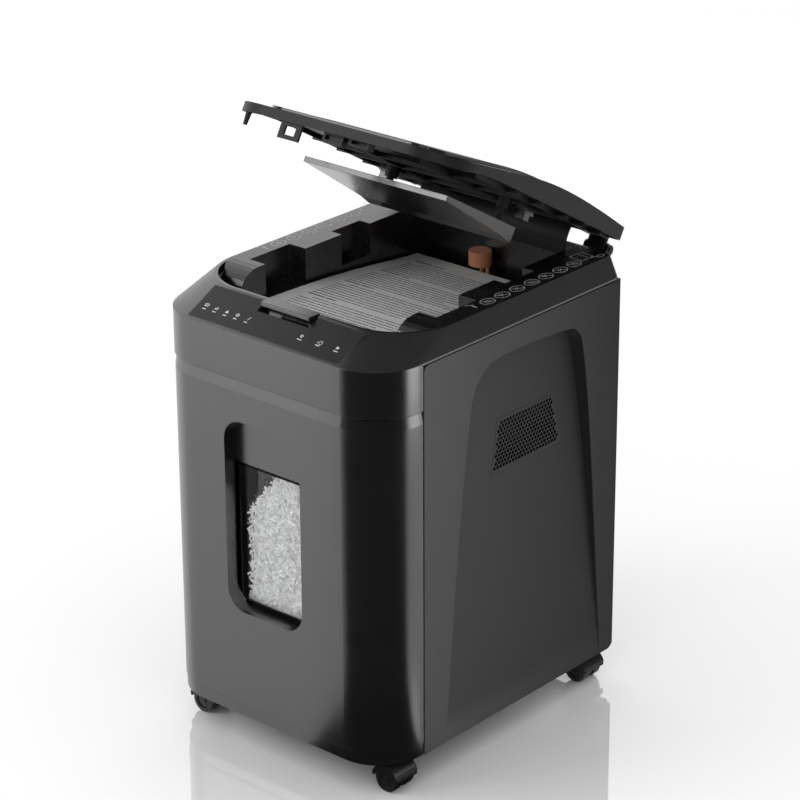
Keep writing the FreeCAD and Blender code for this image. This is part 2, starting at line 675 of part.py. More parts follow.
def gearbox_cover():
    s = box(141.2, 143.6, -40.0, 124.0, 384.0, 446.0)
    posts = []
    for y, z in ((-34.0, 390.0), (-34.0, 440.0), (118.0, 390.0), (118.0, 440.0)):
        posts.append(cyl("x", 3.0, FRAME_X + WALL, 141.2, y, z))
    return s.fuse(posts).removeSplitter()


def feed_shaft():
    return cyl("x", STEM_R, -128.5, 121.5, -CUT_Y, feed_z()).fuse(
        gear(FEED_TEETH, -127.5, -121.5, -CUT_Y, feed_z(), -90.0 + 180.0 / FEED_TEETH)).removeSplitter()


def feed_rollers():
    out = []
    for x in (-60.0, 60.0):
        r = tube("x", FEED_R, STEM_R, x - 14, x + 14, -CUT_Y, feed_z())
        for k in (-7.0, 0.0, 7.0):
            r = r.cut(tube("x", FEED_R + 1, FEED_R - 1.0, x + k - 0.8, x + k + 0.8, -CUT_Y, feed_z()))
        out.append(r)
    return group(out)


def mech_deck():
    s = box(-147.0, 147.0, -128.0, 192.0, MECH_Z, MECH_Z + 2.5)
    s = s.cut(box(-112.0, 112.0, -38.0, 38.0, MECH_Z - 1, MECH_Z + 4))
    lip = box(-147.0, 147.0, -128.0, -125.5, MECH_Z, MECH_Z + 12)
    return s.fuse(lip).removeSplitter()


def bin_rails():
    out = []
    for side in (-1, 1):
        web = box(145.6, 147.0, -122.0, 190.0, BIN_FLANGE_Z - 3.4, MECH_Z)
        foot = box(138.5, 147.0, -122.0, 190.0, BIN_FLANGE_Z - 3.4, BIN_FLANGE_Z - 0.4)
        r = web.fuse(foot).removeSplitter()
        out.append(r if side > 0 else r.mirror(V(0, 0, 0), V(1, 0, 0)))
    return group(out)


def bin_switch():
    body = box(96.0, 116.0, -124.0, -112.0, MECH_Z - 5.0, MECH_Z)
    return body


# ------------------------------------------------------------------ rear kit
def power_inlet():
    s = box(-121.8, -78.2, HALF_D - 20, HALF_D, 72.2, 131.8)
    s = s.fuse(box(-124.0, -76.0, HALF_D, HALF_D + 1.6, 70.0, 134.0)).removeSplitter()
    s = s.cut(box(-114.0, -86.0, HALF_D - 18, HALF_D + 5, 77.0, 97.0))
    s = s.cut(box(-111.0, -89.0, HALF_D - 12, HALF_D + 5, 104.5, 127.5))
    pins = [box(x - 1, x + 1, HALF_D - 18, HALF_D - 4, 84.0, 90.0) for x in (-107.0, -100.0, -93.0)]
    return s.fuse(pins).removeSplitter()


def rocker_switch():
    pts = [(HALF_D - 6, 105.6), (HALF_D + 0.8, 105.6), (HALF_D - 0.4, 116.0), (HALF_D + 2.2, 126.4),
           (HALF_D - 6, 126.4)]
    return prism_yz(pts, -110.6, -89.4)


# ----------------------------------------------------------------------- bin
def bin_front():
    y_back = SEAM_Y - SEAM
    trim = box(-200, 200, -250, y_back, 0, 600)
    full = plan_prism(HALF_W - 0.4, -HALF_D + 0.4, 0, CORNER_R, 1, BIN_Z0, BIN_Z1 - 13).common(trim)
    low = plan_wire(HALF_W - 0.4, -HALF_D + 0.4, 0, CORNER_R, 1, BIN_Z1 - 13)
    top = plan_wire(HALF_W - 2.4, -HALF_D + 2.4, 0, CORNER_R - 2, 1, BIN_Z1)
    bevel = Part.makeLoft([low, top], True, True).common(trim)
    hollow = plan_prism(HALF_W - 4.4, -HALF_D + 4.4, 30, CORNER_R - 4, 1, BIN_Z0 + 3, BIN_Z1 - 3)
    s = full.fuse(bevel).cut(hollow)
    well_y = PANE_Y + PANE_T
    outer = rounded_xz(WIN_X0 - 2.5, WIN_X1 + 2.5, WIN_Z0 - 2.5, WIN_Z1 + 2.5, WIN_R + 2.5,
                       -HALF_D + 0.4, well_y)
    inner = rounded_xz(WIN_X0, WIN_X1, WIN_Z0, WIN_Z1, WIN_R, -HALF_D - 5, well_y + 5)
    grip = rounded_xz(WIN_X0, WIN_X1, WIN_Z0, WIN_Z1, WIN_R, PANE_Y, well_y)
    grip = grip.common(box(-200, 200, -250, 0, PANE_TOP_Z, 500))
    s = s.fuse(outer).cut(inner).fuse(grip)
    # top and bottom webs are notched where the bucket passes
    s = s.cut(box(-BUCKET_X - 2, BUCKET_X + 2, well_y, 50, BIN_Z0 + 3, BIN_Z1 - 3))
    return s.removeSplitter()


def bin_window():
    s = rounded_xz(WIN_X0 + 0.05, WIN_X1 - 0.05, WIN_Z0 + 0.05, WIN_Z1 - 0.05, WIN_R - 0.05,
                   PANE_Y, PANE_Y + PANE_T)
    return s.common(box(-200, 200, -250, 0, 0, PANE_TOP_Z - 0.05))


def bin_bucket():
    y0 = PANE_Y + PANE_T
    s = box(-BUCKET_X, BUCKET_X, y0, BUCKET_Y1, BUCKET_Z0, BUCKET_Z1)
    edges = [e for e in s.Edges if abs(e.Vertexes[0].Z - e.Vertexes[-1].Z) > 100]
    s = s.makeFillet(12.0, edges)
    inner = box(-BUCKET_X + BUCKET_WALL, BUCKET_X - BUCKET_WALL, y0 + BUCKET_WALL,
                BUCKET_Y1 - BUCKET_WALL, BUCKET_Z0 + BUCKET_WALL, 600)
    edges = [e for e in inner.Edges if abs(e.Vertexes[0].Z - e.Vertexes[-1].Z) > 100]
    inner = inner.makeFillet(10.0, edges)
    flange = box(-144.6, 144.6, -120.0, BUCKET_Y1 - 14, BIN_FLANGE_Z, BIN_FLANGE_Z + 3)
    s = s.fuse(flange).cut(inner)
    s = s.cut(box(WIN_X0 + 4, WIN_X1 - 4, y0 - 5, y0 + 10, WIN_Z0 + 6, PANE_TOP_Z - 4))
    return s.removeSplitter()


def shred_pile():
    y0 = PANE_Y + PANE_T + BUCKET_WALL
    x = BUCKET_X - BUCKET_WALL - 0.5
    s = prism_xz([(-x, BUCKET_Z0 + 3), (x, BUCKET_Z0 + 3), (x, 334), (20.0, 330), (-40.0, 300), (-x, 270)],
                 y0 + 0.4, BUCKET_Y1 - 4)
    edges = [e for e in s.Edges if abs(e.Vertexes[0].X - e.Vertexes[-1].X) < 1e-6
             and abs(e.Vertexes[0].Y - e.Vertexes[-1].Y) < 1e-6]
    s = s.makeFillet(12.0, edges)
    # loose shreds weigh far less than solid paper, so the pile is only a skin
    skin = 5.0
    core = prism_xz([(-x + skin, BUCKET_Z0 + 3 + skin), (x - skin, BUCKET_Z0 + 3 + skin), (x - skin, 322),
                     (20.0, 318), (-40.0, 288), (-x + skin, 256)], y0 + 0.4 + skin, BUCKET_Y1 - 4 - skin)
    return s.cut(core)


# ----------------------------------------------------------------------- lid
def lid_profile(top_off, low_off, x0, x1):
    """Side profile of the lid between its crowned top and its lower edge."""
    def curve(table, off):
        pts = [V(x0, lid_y(t), lid_z(n + off)) for t, n in table]
        c = Part.BSplineCurve()
        c.interpolate(pts)
        return c.toShape(), pts
    top, tp = curve(LID_TOP, top_off)
    low = Part.makePolygon([V(x0, lid_y(t), lid_z(n + low_off)) for t, n in LID_LOW])
    lp = [V(x0, lid_y(t), lid_z(n + low_off)) for t, n in LID_LOW]
    w = Part.Wire([top, Part.makeLine(tp[-1], lp[-1])] + list(reversed(low.Edges))
                  + [Part.makeLine(lp[0], tp[0])])
    return Part.Face(w).extrude(V(x1 - x0, 0, 0))


def lid_plan(inset, z0=480.0, z1=560.0):
    return plan_prism(LID_HALF - inset, lid_y(LID_T1) + inset, lid_y(LID_T0) - inset,
                      LID_FRONT_R - inset, max(LID_REAR_R - inset, 1.0), z0, z1)


def hinge_notches():
    """Room in the lid's lower parts for the feet of the hinge knuckles."""
    return group([box(x - 12.2, x + 12.2, HINGE_Y - 30.2, HINGE_Y, lid_z(-4.0), lid_z(1.45))
                  for x in HINGE_X])


def lid_underside(t):
    """Lower face of the inner panel where it slopes down to the front."""
    return -5.6 - 1.4 * (t - 326.0) / 23.0


def under_block(x0, x1, t0, t1, n):
    """Block that hangs from the inner panel's sloping face down to n."""
    return lid_prism([(t0, n), (t1, n), (t1, lid_underside(t1)), (t0, lid_underside(t0))], x0, x1)


def lid_cover():
    s = lid_profile(0.0, 0.0, -LID_HALF, LID_HALF).common(lid_plan(0.0))
    inner = lid_profile(-2.8, -6.0, -LID_HALF, LID_HALF).common(lid_plan(2.8))
    return opened(s.cut(inner).cut(hinge_notches()).removeSplitter())


def lid_top_panel():
    """Raised panel lying on the crowned top."""
    s = lid_profile(3.6, 0.0, -LID_HALF, LID_HALF).cut(
        lid_profile(0.05, -5.0, -LID_HALF, LID_HALF))
    s = s.common(plan_prism(118.0, lid_y(338.0), lid_y(60.0), 30.0, 30.0, 480, 570))
    return opened(s.removeSplitter())


def lid_inner_panel():
    pts = [(12.0, 1.5), (262.0, 1.5), (290.0, -0.4), (326.0, -5.6), (349.0, -7.0),
           (349.0, -4.6), (326.0, -3.1), (290.0, 2.1), (262.0, 4.0), (12.0, 4.0)]
    s = lid_prism(pts, -LID_HALF, LID_HALF).common(lid_plan(3.1))
    ribs = []
    for t in (40.0, 75.0, 110.0, 160.0, 205.0):
        ribs.append(lid_prism([(t, -3.5), (t + 2.2, -3.5), (t + 2.2, 2.0), (t, 2.0)], -146, 146))
    for x in (-128.0, -52.0, 52.0, 128.0):
        ribs.append(lid_prism([(20.0, -3.5), (262.0, -3.5), (262.0, 2.0), (20.0, 2.0)], x - 1.1, x + 1.1))
    s = s.fuse(ribs)
    for x in (-PLATE_PIN_X, PLATE_PIN_X):
        s = s.cut(cyl("z", 7.0, lid_z(-10), lid_z(10), x, lid_y(PLATE_PIN_T)))
    s = s.cut(hinge_notches()).fuse(rear_cover())
    return opened(s.removeSplitter())


def rear_cover():
    """Curved cover around the hinge axis, which drops into the tray's rear well as the lid closes."""
    ring = tube("x", COVER_R + COVER_T, COVER_R, -COVER_HALF, COVER_HALF, HINGE_Y, HINGE_Z)
    low, reach = math.radians(COVER_LOW), 2.0 * COVER_R
    sector = prism_yz([(HINGE_Y, HINGE_Z), (HINGE_Y - reach, HINGE_Z + reach * math.tan(low)),
                       (HINGE_Y - reach, lid_z(2.0)), (HINGE_Y, lid_z(2.0))], -COVER_HALF, COVER_HALF)
    return ring.common(sector)


def plate_guides():
    out = []
    for side in (-1, 1):
        x, y = side * PLATE_PIN_X, lid_y(PLATE_PIN_T)
        s = tube("z", 6.9, PLATE_PIN_R + FIT, lid_z(-13.8), lid_z(4.0), x, y)
        foot = box(x - 9.0, x + 9.0, y - 9.0, y + 9.0, lid_z(4.0), lid_z(6.0))
        s = s.fuse(foot.cut(cyl("z", PLATE_PIN_R + FIT, lid_z(0), lid_z(10), x, y)))
        out.append(opened(s.removeSplitter()))
    return group(out)


def spring_brackets():
    """Stepped brackets beside the guides, which hold the plate's springs."""
    out = []
    for side in (-1, 1):
        x0, x1 = side * 90.0, side * 104.0
        x0, x1 = min(x0, x1), max(x0, x1)
        pts = [(128.0, -19.0), (118.0, -19.0), (118.0, -12.0), (112.3, -12.0), (112.3, 1.5), (132.0, 1.5),
               (132.0, -8.0), (128.0, -8.0)]
        out.append(opened(lid_prism(pts, x0, x1)))
    return group(out)


def striker_loop():
    x0, x1 = -70.0, -41.0
    s = box(x0, x1, lid_y(352.0), lid_y(349.0), lid_z(-27.0), lid_z(-4.8))
    s = s.cut(box(x0 + 7, x1 - 7, lid_y(360.0), lid_y(340.0), lid_z(-22.5), lid_z(-13.0)))
    return opened(s)


def latch_catch():
    s = under_block(-13.0, 15.0, 341.0, 348.9, -19.0)
    s = s.cut(box(-9.5, 11.5, lid_y(355.0), lid_y(345.0), lid_z(-15.5), lid_z(-10.5)))
    side = under_block(20.0, 48.0, 336.0, 346.0, -15.0)
    side = side.cut(box(24.0, 44.0, lid_y(350.0), lid_y(340.0), lid_z(-12.5), lid_z(-9.0)))
    return group([opened(s), opened(side)])


def lid_switch_prong():
    a = Part.makeCone(2.2, 3.6, 17.0, V(PRONG_X, lid_y(PRONG_T), lid_z(-22.0)), V(0, 0, 1))
    return opened(a.common(under_block(-150.0, -110.0, 330.0, 344.0, -25.0)))


def hinge_knuckles():
    out = []
    for x in HINGE_X:
        k = tube("x", 7.0, 3.0 + FIT, x - 12, x + 12, HINGE_Y, HINGE_Z)
        arm = box(x - 12, x + 12, HINGE_Y - 7.0, HINGE_Y - 3.5, HINGE_Z, lid_z(1.4))
        foot = box(x - 12, x + 12, HINGE_Y - 30.0, HINGE_Y - 10.0, lid_z(-2.2), lid_z(1.4))
        web = box(x - 12, x + 12, HINGE_Y - 11.0, HINGE_Y - 3.5, lid_z(-2.2), lid_z(1.4))
        s = k.fuse([arm, foot, web]).cut(cyl("x", 3.0 + FIT, x - 20, x + 20, HINGE_Y, HINGE_Z))
        out.append(opened(s.removeSplitter()))
    return group(out)


def hinge_brackets():
    out = []
    for x in HINGE_X:
        parts = []
        for a, b in ((x - 16.5, x - 12.5), (x + 12.5, x + 16.5)):
            lug = cyl("x", 6.0, a, b, HINGE_Y, HINGE_Z)
            arm = prism_yz([(HALF_D, 491.5), (HALF_D, 499.0), (HINGE_Y - 2, HINGE_Z + 5.6),
                            (HINGE_Y + 4, HINGE_Z - 4.4), (HALF_D + 4, 491.5)], a, b)
            parts += [lug, arm]
        foot = box(x - 16.5, x + 16.5, HALF_D, HALF_D + 2.0, 488.5, 494.0)
        pin = cyl("x", 3.0, x - 18.0, x + 18.0, HINGE_Y, HINGE_Z)
        out.append(fuse(parts + [foot, pin]))
    return group(out)


def press_plate():
    low = [(PLATE_T1, -35.2), (184.0, -41.2), (150.0, -44.1), (PLATE_T0 + 2, -47.5), (PLATE_T0, -46.0)]
    s = lid_prism([(PLATE_T1, PLATE_TOP)] + low + [(PLATE_T0, PLATE_TOP)], -PLATE_HALF, PLATE_HALF)
    deep = [(PLATE_T1 - 14, PLATE_TOP + 1), (PLATE_T1 - 14, -34.0), (184.0, -38.8), (150.0, -41.6),
            (PLATE_T0 + 5, -43.0), (PLATE_T0 + 5, PLATE_TOP + 1)]
    s = s.cut(lid_prism(deep, -PLATE_HALF + 3, PLATE_HALF - 3))
    whole = lid_prism([(PLATE_T1, PLATE_TOP)] + low + [(PLATE_T0, PLATE_TOP)], -PLATE_HALF, PLATE_HALF)
    ribs = [whole.common(box(x - PLATE_RIB_T / 2, x + PLATE_RIB_T / 2, -200.0, 250.0, 400.0, 600.0))
            for x in PLATE_RIBS]
    s = s.fuse(ribs)
    bosses = []
    for x in (-PLATE_PIN_X, PLATE_PIN_X):
        bosses.append(cyl("z", 8.0, lid_z(-42.5), lid_z(PLATE_TOP), x, lid_y(PLATE_PIN_T + 6.0)))
    s = s.fuse([b.common(whole) for b in bosses])
    for x in (-PLATE_PIN_X, PLATE_PIN_X):
        s = s.cut(cyl("z", PLATE_PIN_R + 0.02, lid_z(-38.0), lid_z(0), x, lid_y(PLATE_PIN_T)))
    # two long slots in its underside
    for x in (-58.0, 30.0):
        s = s.cut(box(x, x + 30, lid_y(206.0), lid_y(203.5), lid_z(-60), lid_z(-30)))
    return opened(s.removeSplitter())


def plate_pins():
    out = []
    for x in (-PLATE_PIN_X, PLATE_PIN_X):
        out.append(opened(cyl("z", PLATE_PIN_R, lid_z(-38.0), lid_z(-5.0), x, lid_y(PLATE_PIN_T))))
    return group(out)


# ------------------------------------------------------------------- casters
def caster_points():
    return [(sx * CASTER_X, y) for sx in (-1, 1) for y in (CASTER_FRONT_Y, CASTER_REAR_Y)]


def caster_sockets():
    out = []
    for x, y in caster_points():
        s = tube("z", 8.98, STEM_R + FIT, BASE_Z0 - 0.8, BASE_Z0 + 11, x, y)
        out.append(s)
    return group(out)


def swivelled(make, x, y):
    """A caster's part, turned about its swivel axis so that its wheels point sideways."""
    s = make(x, y)
    s.rotate(V(x, y, 0), V(0, 0, 1), CASTER_TURN)
    return s


def caster_hood(x, y):
    ay, az = y + CASTER_TRAIL, WHEEL_R
    web = cyl("x", 12.5, x - 3.6, x + 3.6, ay, az)
    neck = box(x - 3.6, x + 3.6, y - 6.5, ay + 6, az + 4, 32.0)
    shell = cyl("x", 18.2, x - 17.5, x + 17.5, ay, az).cut(
        cyl("x", 15.4, x - 16.2, x - 3.6, ay, az)).cut(cyl("x", 15.4, x + 3.6, x + 16.2, ay, az))
    shell = shell.common(box(x - 20, x + 20, y - 40, y + 40, az + 1.5, 33.5))
    shell = shell.cut(box(x - 20, x - 16.2, y - 40, y + 40, 0, az + 5)).cut(
        box(x + 16.2, x + 20, y - 40, y + 40, 0, az + 5))
    boss = cyl("z", 8.0, 27.0, 33.6, x, y)
    inner = cyl("x", 15.4, x - 16.2, x - 3.6, ay, az).fuse(cyl("x", 15.4, x + 3.6, x + 16.2, ay, az))
    boss = boss.cut(inner)
    stem = cyl("z", STEM_R, 30.0, BASE_Z0 + 9, x, y)
    s = fuse([web, neck, shell, boss, stem])
    return s.cut(cyl("x", 2.0 + FIT, x - 30, x + 30, ay, az))


def caster_wheels(x, y):
    ay, az = y + CASTER_TRAIL, WHEEL_R
    out = [cyl("x", 2.0, x - 15.4, x + 15.4, ay, az)]
    for side in (-1, 1):
        x0, x1 = sorted((x + side * 4.4, x + side * 15.4))
        w = cyl("x", WHEEL_R, x0, x1, ay, az)
        rims = [e for e in w.Edges if e.BoundBox.XLength < 1e-6]
        w = w.makeFillet(1.5, rims)
        dish = (x1 - 1.5, x1 + 1) if side > 0 else (x0 - 1, x0 + 1.5)
        w = w.cut(tube("x", 9.5, 4.0, dish[0], dish[1], ay, az))
        out.append(w)
    return fuse(out)


# --------------------------------------------------------------------- write
NODES = {
    "base_tray": base_tray,
    "side_panel_left": lambda: side_panel(-1),
    "side_panel_right": lambda: side_panel(1),
    "vent_grille_left": lambda: vent_grille(-1),
    "vent_grille_right": lambda: vent_grille(1),
    "rear_panel": rear_panel,
    "panel_screws": panel_screws,
    "head_housing": head_housing,
    "control_panel": control_panel,
    "control_board": control_board,
    "latch_pad": latch_pad,
    "paper_tray": paper_tray,
    "tray_guides": tray_guides,
    "paper_stack": paper_stack,
    "paper_stop": paper_stop,
    "lid_switch": lid_switch,
    "cutter_frame_left": lambda: frame_plate(-1),
    "cutter_frame_right": lambda: frame_plate(1),
    "tie_rods": tie_rods,
    "scraper_bars": scraper_bars,
    "cutter_front": lambda: cutter(-1),
    "cutter_rear": lambda: cutter(1),
    "front_gears": front_gears,
    "rear_gears": rear_gears,
    "idler_gear": idler_gear,
    "motor_pinion": motor_pinion,
    "motor": motor,
    "gearbox_cover": gearbox_cover,
    "feed_shaft": feed_shaft,
    "feed_rollers": feed_rollers,
    "mech_deck": mech_deck,
    "bin_rails": bin_rails,
    "bin_switch": bin_switch,
    "power_inlet": power_inlet,
    "rocker_switch": rocker_switch,
    "bin_front": bin_front,
    "bin_window": bin_window,
    "bin_bucket": bin_bucket,
    "shred_pile": shred_pile,
    "lid_cover": lid_cover,
    "lid_top_panel": lid_top_panel,
    "lid_inner_panel": lid_inner_panel,
    "plate_guides": plate_guides,
    "spring_brackets": spring_brackets,
    "striker_loop": striker_loop,
    "latch_catch": latch_catch,
    "lid_switch_prong": lid_switch_prong,
    "hinge_knuckles": hinge_knuckles,
    "hinge_brackets": hinge_brackets,
    "press_plate": press_plate,
    "plate_pins": plate_pins,
    "caster_sockets": caster_sockets,
}
CASTER_NAMES = ("left_front", "left_rear", "right_front", "right_rear")
for caster_name, (cx, cy) in zip(CASTER_NAMES, caster_points()):
    NODES["caster_hood_" + caster_name] = lambda a=cx, b=cy: swivelled(caster_hood, a, b)
    NODES["caster_wheels_" + caster_name] = lambda a=cx, b=cy: swivelled(caster_wheels, a, b)

os.makedirs("parts", exist_ok=True)
for node, make in NODES.items():
    shape = make()
    shape.translate(V(0, -ORIGIN_Y, 0))
    shape.exportStep("parts/" + node + ".step")
    print(node, len(shape.Solids), round(shape.Volume / 1000.0, 2), shape.isValid())
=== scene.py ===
import bpy
import math
import random
from mathutils import Matrix, Vector


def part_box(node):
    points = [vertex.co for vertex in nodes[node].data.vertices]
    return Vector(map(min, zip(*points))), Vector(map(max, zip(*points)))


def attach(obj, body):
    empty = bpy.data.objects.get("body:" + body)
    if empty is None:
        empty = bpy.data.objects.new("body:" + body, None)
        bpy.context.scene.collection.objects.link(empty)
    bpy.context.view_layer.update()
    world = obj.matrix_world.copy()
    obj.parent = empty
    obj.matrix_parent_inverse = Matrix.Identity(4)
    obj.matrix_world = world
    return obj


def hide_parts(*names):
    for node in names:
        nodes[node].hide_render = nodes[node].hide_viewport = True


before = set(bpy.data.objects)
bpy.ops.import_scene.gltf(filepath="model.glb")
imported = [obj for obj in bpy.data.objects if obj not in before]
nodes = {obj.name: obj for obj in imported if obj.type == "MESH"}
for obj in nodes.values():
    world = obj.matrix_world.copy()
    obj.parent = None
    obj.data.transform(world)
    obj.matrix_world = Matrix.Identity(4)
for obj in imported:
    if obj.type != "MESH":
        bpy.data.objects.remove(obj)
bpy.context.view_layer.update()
MM = 0.001


# ------------------------------------------------------------------ materials
class Finish:
    """A Principled material with an even base, to which layers of detail are added."""

    def __init__(self, name, base, rough, **sockets):
        self.material = bpy.data.materials.new(name)
        self.material.use_nodes = True
        self.tree = self.material.node_tree
        self.shader = self.tree.nodes["Principled BSDF"]
        self.base, self.rough = base, rough
        self.set("Base Color", (*base, 1))
        self.set("Roughness", rough)
        for socket, value in sockets.items():
            self.set(socket.replace("_", " "), value)
        self.place = self.tree.nodes.new("ShaderNodeTexCoord").outputs["Object"]
        self.normal = None

    def set(self, socket, value):
        self.shader.inputs[socket].default_value = value

    def add(self, kind, **values):
        node = self.tree.nodes.new(kind)
        for key, value in values.items():
            node.inputs[key.replace("_", " ")].default_value = value
        return node

    def link(self, output, target):
        self.tree.links.new(output, target)

    def maths(self, operation, *sources):
        node = self.tree.nodes.new("ShaderNodeMath")
        node.operation = operation
        for source, target in zip(sources, node.inputs):
            self.link(source, target)
        return node.outputs["Value"]

    def mottle(self, scale, amount):
        """Uneven tint and gloss, as moulding flow and handling leave them."""
        noise = self.add("ShaderNodeTexNoise", Scale=scale, Detail=4.0)
        self.link(self.place, noise.inputs["Vector"])
        ramp = self.tree.nodes.new("ShaderNodeValToRGB")
        stops = zip(ramp.color_ramp.elements, (0.35, 0.65), (1 - amount, 1 + amount))
        for element, at, gain in stops:
            element.position = at
            element.color = (*[min(1.0, c * gain) for c in self.base], 1)
        self.link(noise.outputs["Fac"], ramp.inputs["Fac"])
        self.link(ramp.outputs["Color"], self.shader.inputs["Base Color"])
        gloss = self.add("ShaderNodeMapRange", To_Min=self.rough * 0.88,
                         To_Max=min(1, self.rough * 1.12))
        self.link(noise.outputs["Fac"], gloss.inputs["Value"])
        self.link(gloss.outputs["Result"], self.shader.inputs["Roughness"])
        return self

    def soften(self, radius):
        """Moulded edges are slightly round and catch the light."""
        node = self.tree.nodes.new("ShaderNodeBevel")
        node.samples = 4
        node.inputs["Radius"].default_value = radius
        self.normal = node.outputs["Normal"]
        self.link(self.normal, self.shader.inputs["Normal"])
        return self

    def grain(self, scale, strength, depth):
        """Fine texture of the mould or of the paper."""
        noise = self.add("ShaderNodeTexNoise", Scale=scale, Detail=2.0)
        self.link(self.place, noise.inputs["Vector"])
        bump = self.add("ShaderNodeBump", Strength=strength, Distance=depth)
        self.link(noise.outputs["Fac"], bump.inputs["Height"])
        if self.normal:
            self.link(self.normal, bump.inputs["Normal"])
        self.link(bump.outputs["Normal"], self.shader.inputs["Normal"])
        return self


FINE = 0.0001           # depth of the bump of a fine texture, in metres
MOULD_GRAIN = 1300.0    # scale of the texture left by the mould
FLOW = 35.0             # scale of the uneven tint of moulded plastic


def plastic(name, base, rough, edge=0.0007, grain=0.06, **sockets):
    finish = Finish(name, base, rough, **sockets).mottle(FLOW, 0.08).soften(edge)
    return finish.grain(MOULD_GRAIN, grain, FINE).material


def metal(name, base, rough):
    finish = Finish(name, base, rough, Metallic=1.0).mottle(90.0, 0.15)
    return finish.grain(400.0, 0.12, FINE).material


SIDE_FRONT_LIT, SIDE_REAR_SHADED = 0.066, 0.006    # painted shade: tone of the side panels at either end, falling off towards the rear
SIDE_SUNK_SHADE = 0.62                        # painted shade: share of the tone that the recessed area keeps


def side_plastic():
    """Matt side panels with painted shade: the tone falls off towards the rear and inside the
    recess, where less light falls.
    """
    finish = Finish("side_plastic", (0.05, 0.05, 0.052), 0.50, IOR=1.42).soften(0.0009)
    lo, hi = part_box("side_panel_right")
    split = finish.add("ShaderNodeSeparateXYZ")
    finish.link(finish.place, split.inputs["Vector"])
    # painted shade: the base tone falls from front to rear
    shade_falloff = finish.add("ShaderNodeMapRange", From_Min=lo.y, From_Max=hi.y,
                      To_Min=SIDE_FRONT_LIT, To_Max=SIDE_REAR_SHADED)
    finish.link(split.outputs["Y"], shade_falloff.inputs["Value"])
    across = finish.maths("ABSOLUTE", split.outputs["X"])
    # painted shade: darker base tone inside the recess
    sunk_shade = finish.add("ShaderNodeMapRange", From_Min=hi.x - 1.2 * MM, From_Max=hi.x - 0.4 * MM,
                      To_Min=SIDE_SUNK_SHADE, To_Max=1.0)
    finish.link(across, sunk_shade.inputs["Value"])
    noise = finish.add("ShaderNodeTexNoise", Scale=FLOW, Detail=4.0)
    finish.link(finish.place, noise.inputs["Vector"])
    uneven = finish.add("ShaderNodeMapRange", To_Min=0.94, To_Max=1.06)
    finish.link(noise.outputs["Fac"], uneven.inputs["Value"])
    tone = finish.maths("MULTIPLY", shade_falloff.outputs["Result"], sunk_shade.outputs["Result"])
    tone = finish.maths("MULTIPLY", tone, uneven.outputs["Result"])
    colour = finish.add("ShaderNodeCombineColor")
    for channel in ("Red", "Green", "Blue"):
        finish.link(tone, colour.inputs[channel])
    finish.link(colour.outputs["Color"], finish.shader.inputs["Base Color"])
    return finish.grain(MOULD_GRAIN, 0.20, FINE).material


HOUSING = plastic("housing_plastic", (0.0075, 0.0076, 0.0080), 0.24, IOR=2.25)
SHELL = plastic("lid_plastic", (0.0060, 0.0061, 0.0064), 0.46, IOR=1.5)
SIDE = side_plastic()
GRILLE = plastic("grille_plastic", (0.010, 0.010, 0.011), 0.45, edge=0.0003)
TRAY = plastic("tray_plastic", (0.0035, 0.0035, 0.0037), 0.27, edge=0.0009, IOR=2.0)
INNER = plastic("inner_plastic", (0.0035, 0.0035, 0.0037), 0.45, edge=0.0005)
PLATE = plastic("plate_plastic", (0.010, 0.010, 0.0105), 0.16, edge=0.0008, IOR=1.9)
FILM = plastic("panel_film", (0.012, 0.0122, 0.013), 0.26, edge=0.0002, grain=0.02, IOR=1.5)
GLOSS = plastic("gloss_plastic", (0.018, 0.018, 0.019), 0.14, edge=0.0012, grain=0.01,
                Coat_Weight=0.3)
CASTER = plastic("caster_plastic", (0.010, 0.010, 0.010), 0.30)
WHEEL = plastic("wheel_plastic", (0.014, 0.014, 0.014), 0.35)
RUBBER = plastic("roller_rubber", (0.020, 0.020, 0.020), 0.75, grain=0.4)
COPPER = plastic("copper_plastic", (0.42, 0.17, 0.085), 0.32)
MOTOR = plastic("motor_paint", (0.030, 0.030, 0.033), 0.5)
BOARD = plastic("circuit_board", (0.010, 0.090, 0.040), 0.4)
PRINT = plastic("print_white", (0.62, 0.62, 0.62), 0.6, edge=0.00005)
LINE = plastic("print_grey", (0.34, 0.34, 0.34), 0.6, edge=0.00005)
INK = plastic("print_ink", (0.035, 0.035, 0.036), 0.7, edge=0.00005)
STEEL = metal("zinc_steel", (0.55, 0.55, 0.56), 0.35)
CUTTER = metal("cutter_steel", (0.38, 0.38, 0.39), 0.38)
PANE = Finish("clear_window", (0.97, 0.98, 0.98), 0.02, Transmission_Weight=1.0, IOR=1.2).grain(
    30.0, 0.01, FINE).material
# The shreds glow faintly white: painted light that brightens the heap and its particles.
GLOWING_SHRED = Finish("shred_paper_glowing", (0.90, 0.90, 0.89), 0.75, Emission_Color=(1, 1, 1, 1),
               Emission_Strength=0.04).mottle(420.0, 0.16).grain(500.0, 0.2, FINE).material
# Grey copy of the shred paper: painted shade for the shreds lying in shadow.
SHADED_SHRED = Finish("shred_shaded", (0.16, 0.16, 0.16), 0.8).mottle(300.0, 0.5).grain(
    500.0, 0.2, FINE).material
# White paper given a mid grey: painted shade of the dark tray the stack lies in.
SHADED_PAPER = Finish("sheet_paper_shaded", (0.56, 0.56, 0.555), 0.8).mottle(20.0, 0.03).grain(
    700.0, 0.1, FINE).material

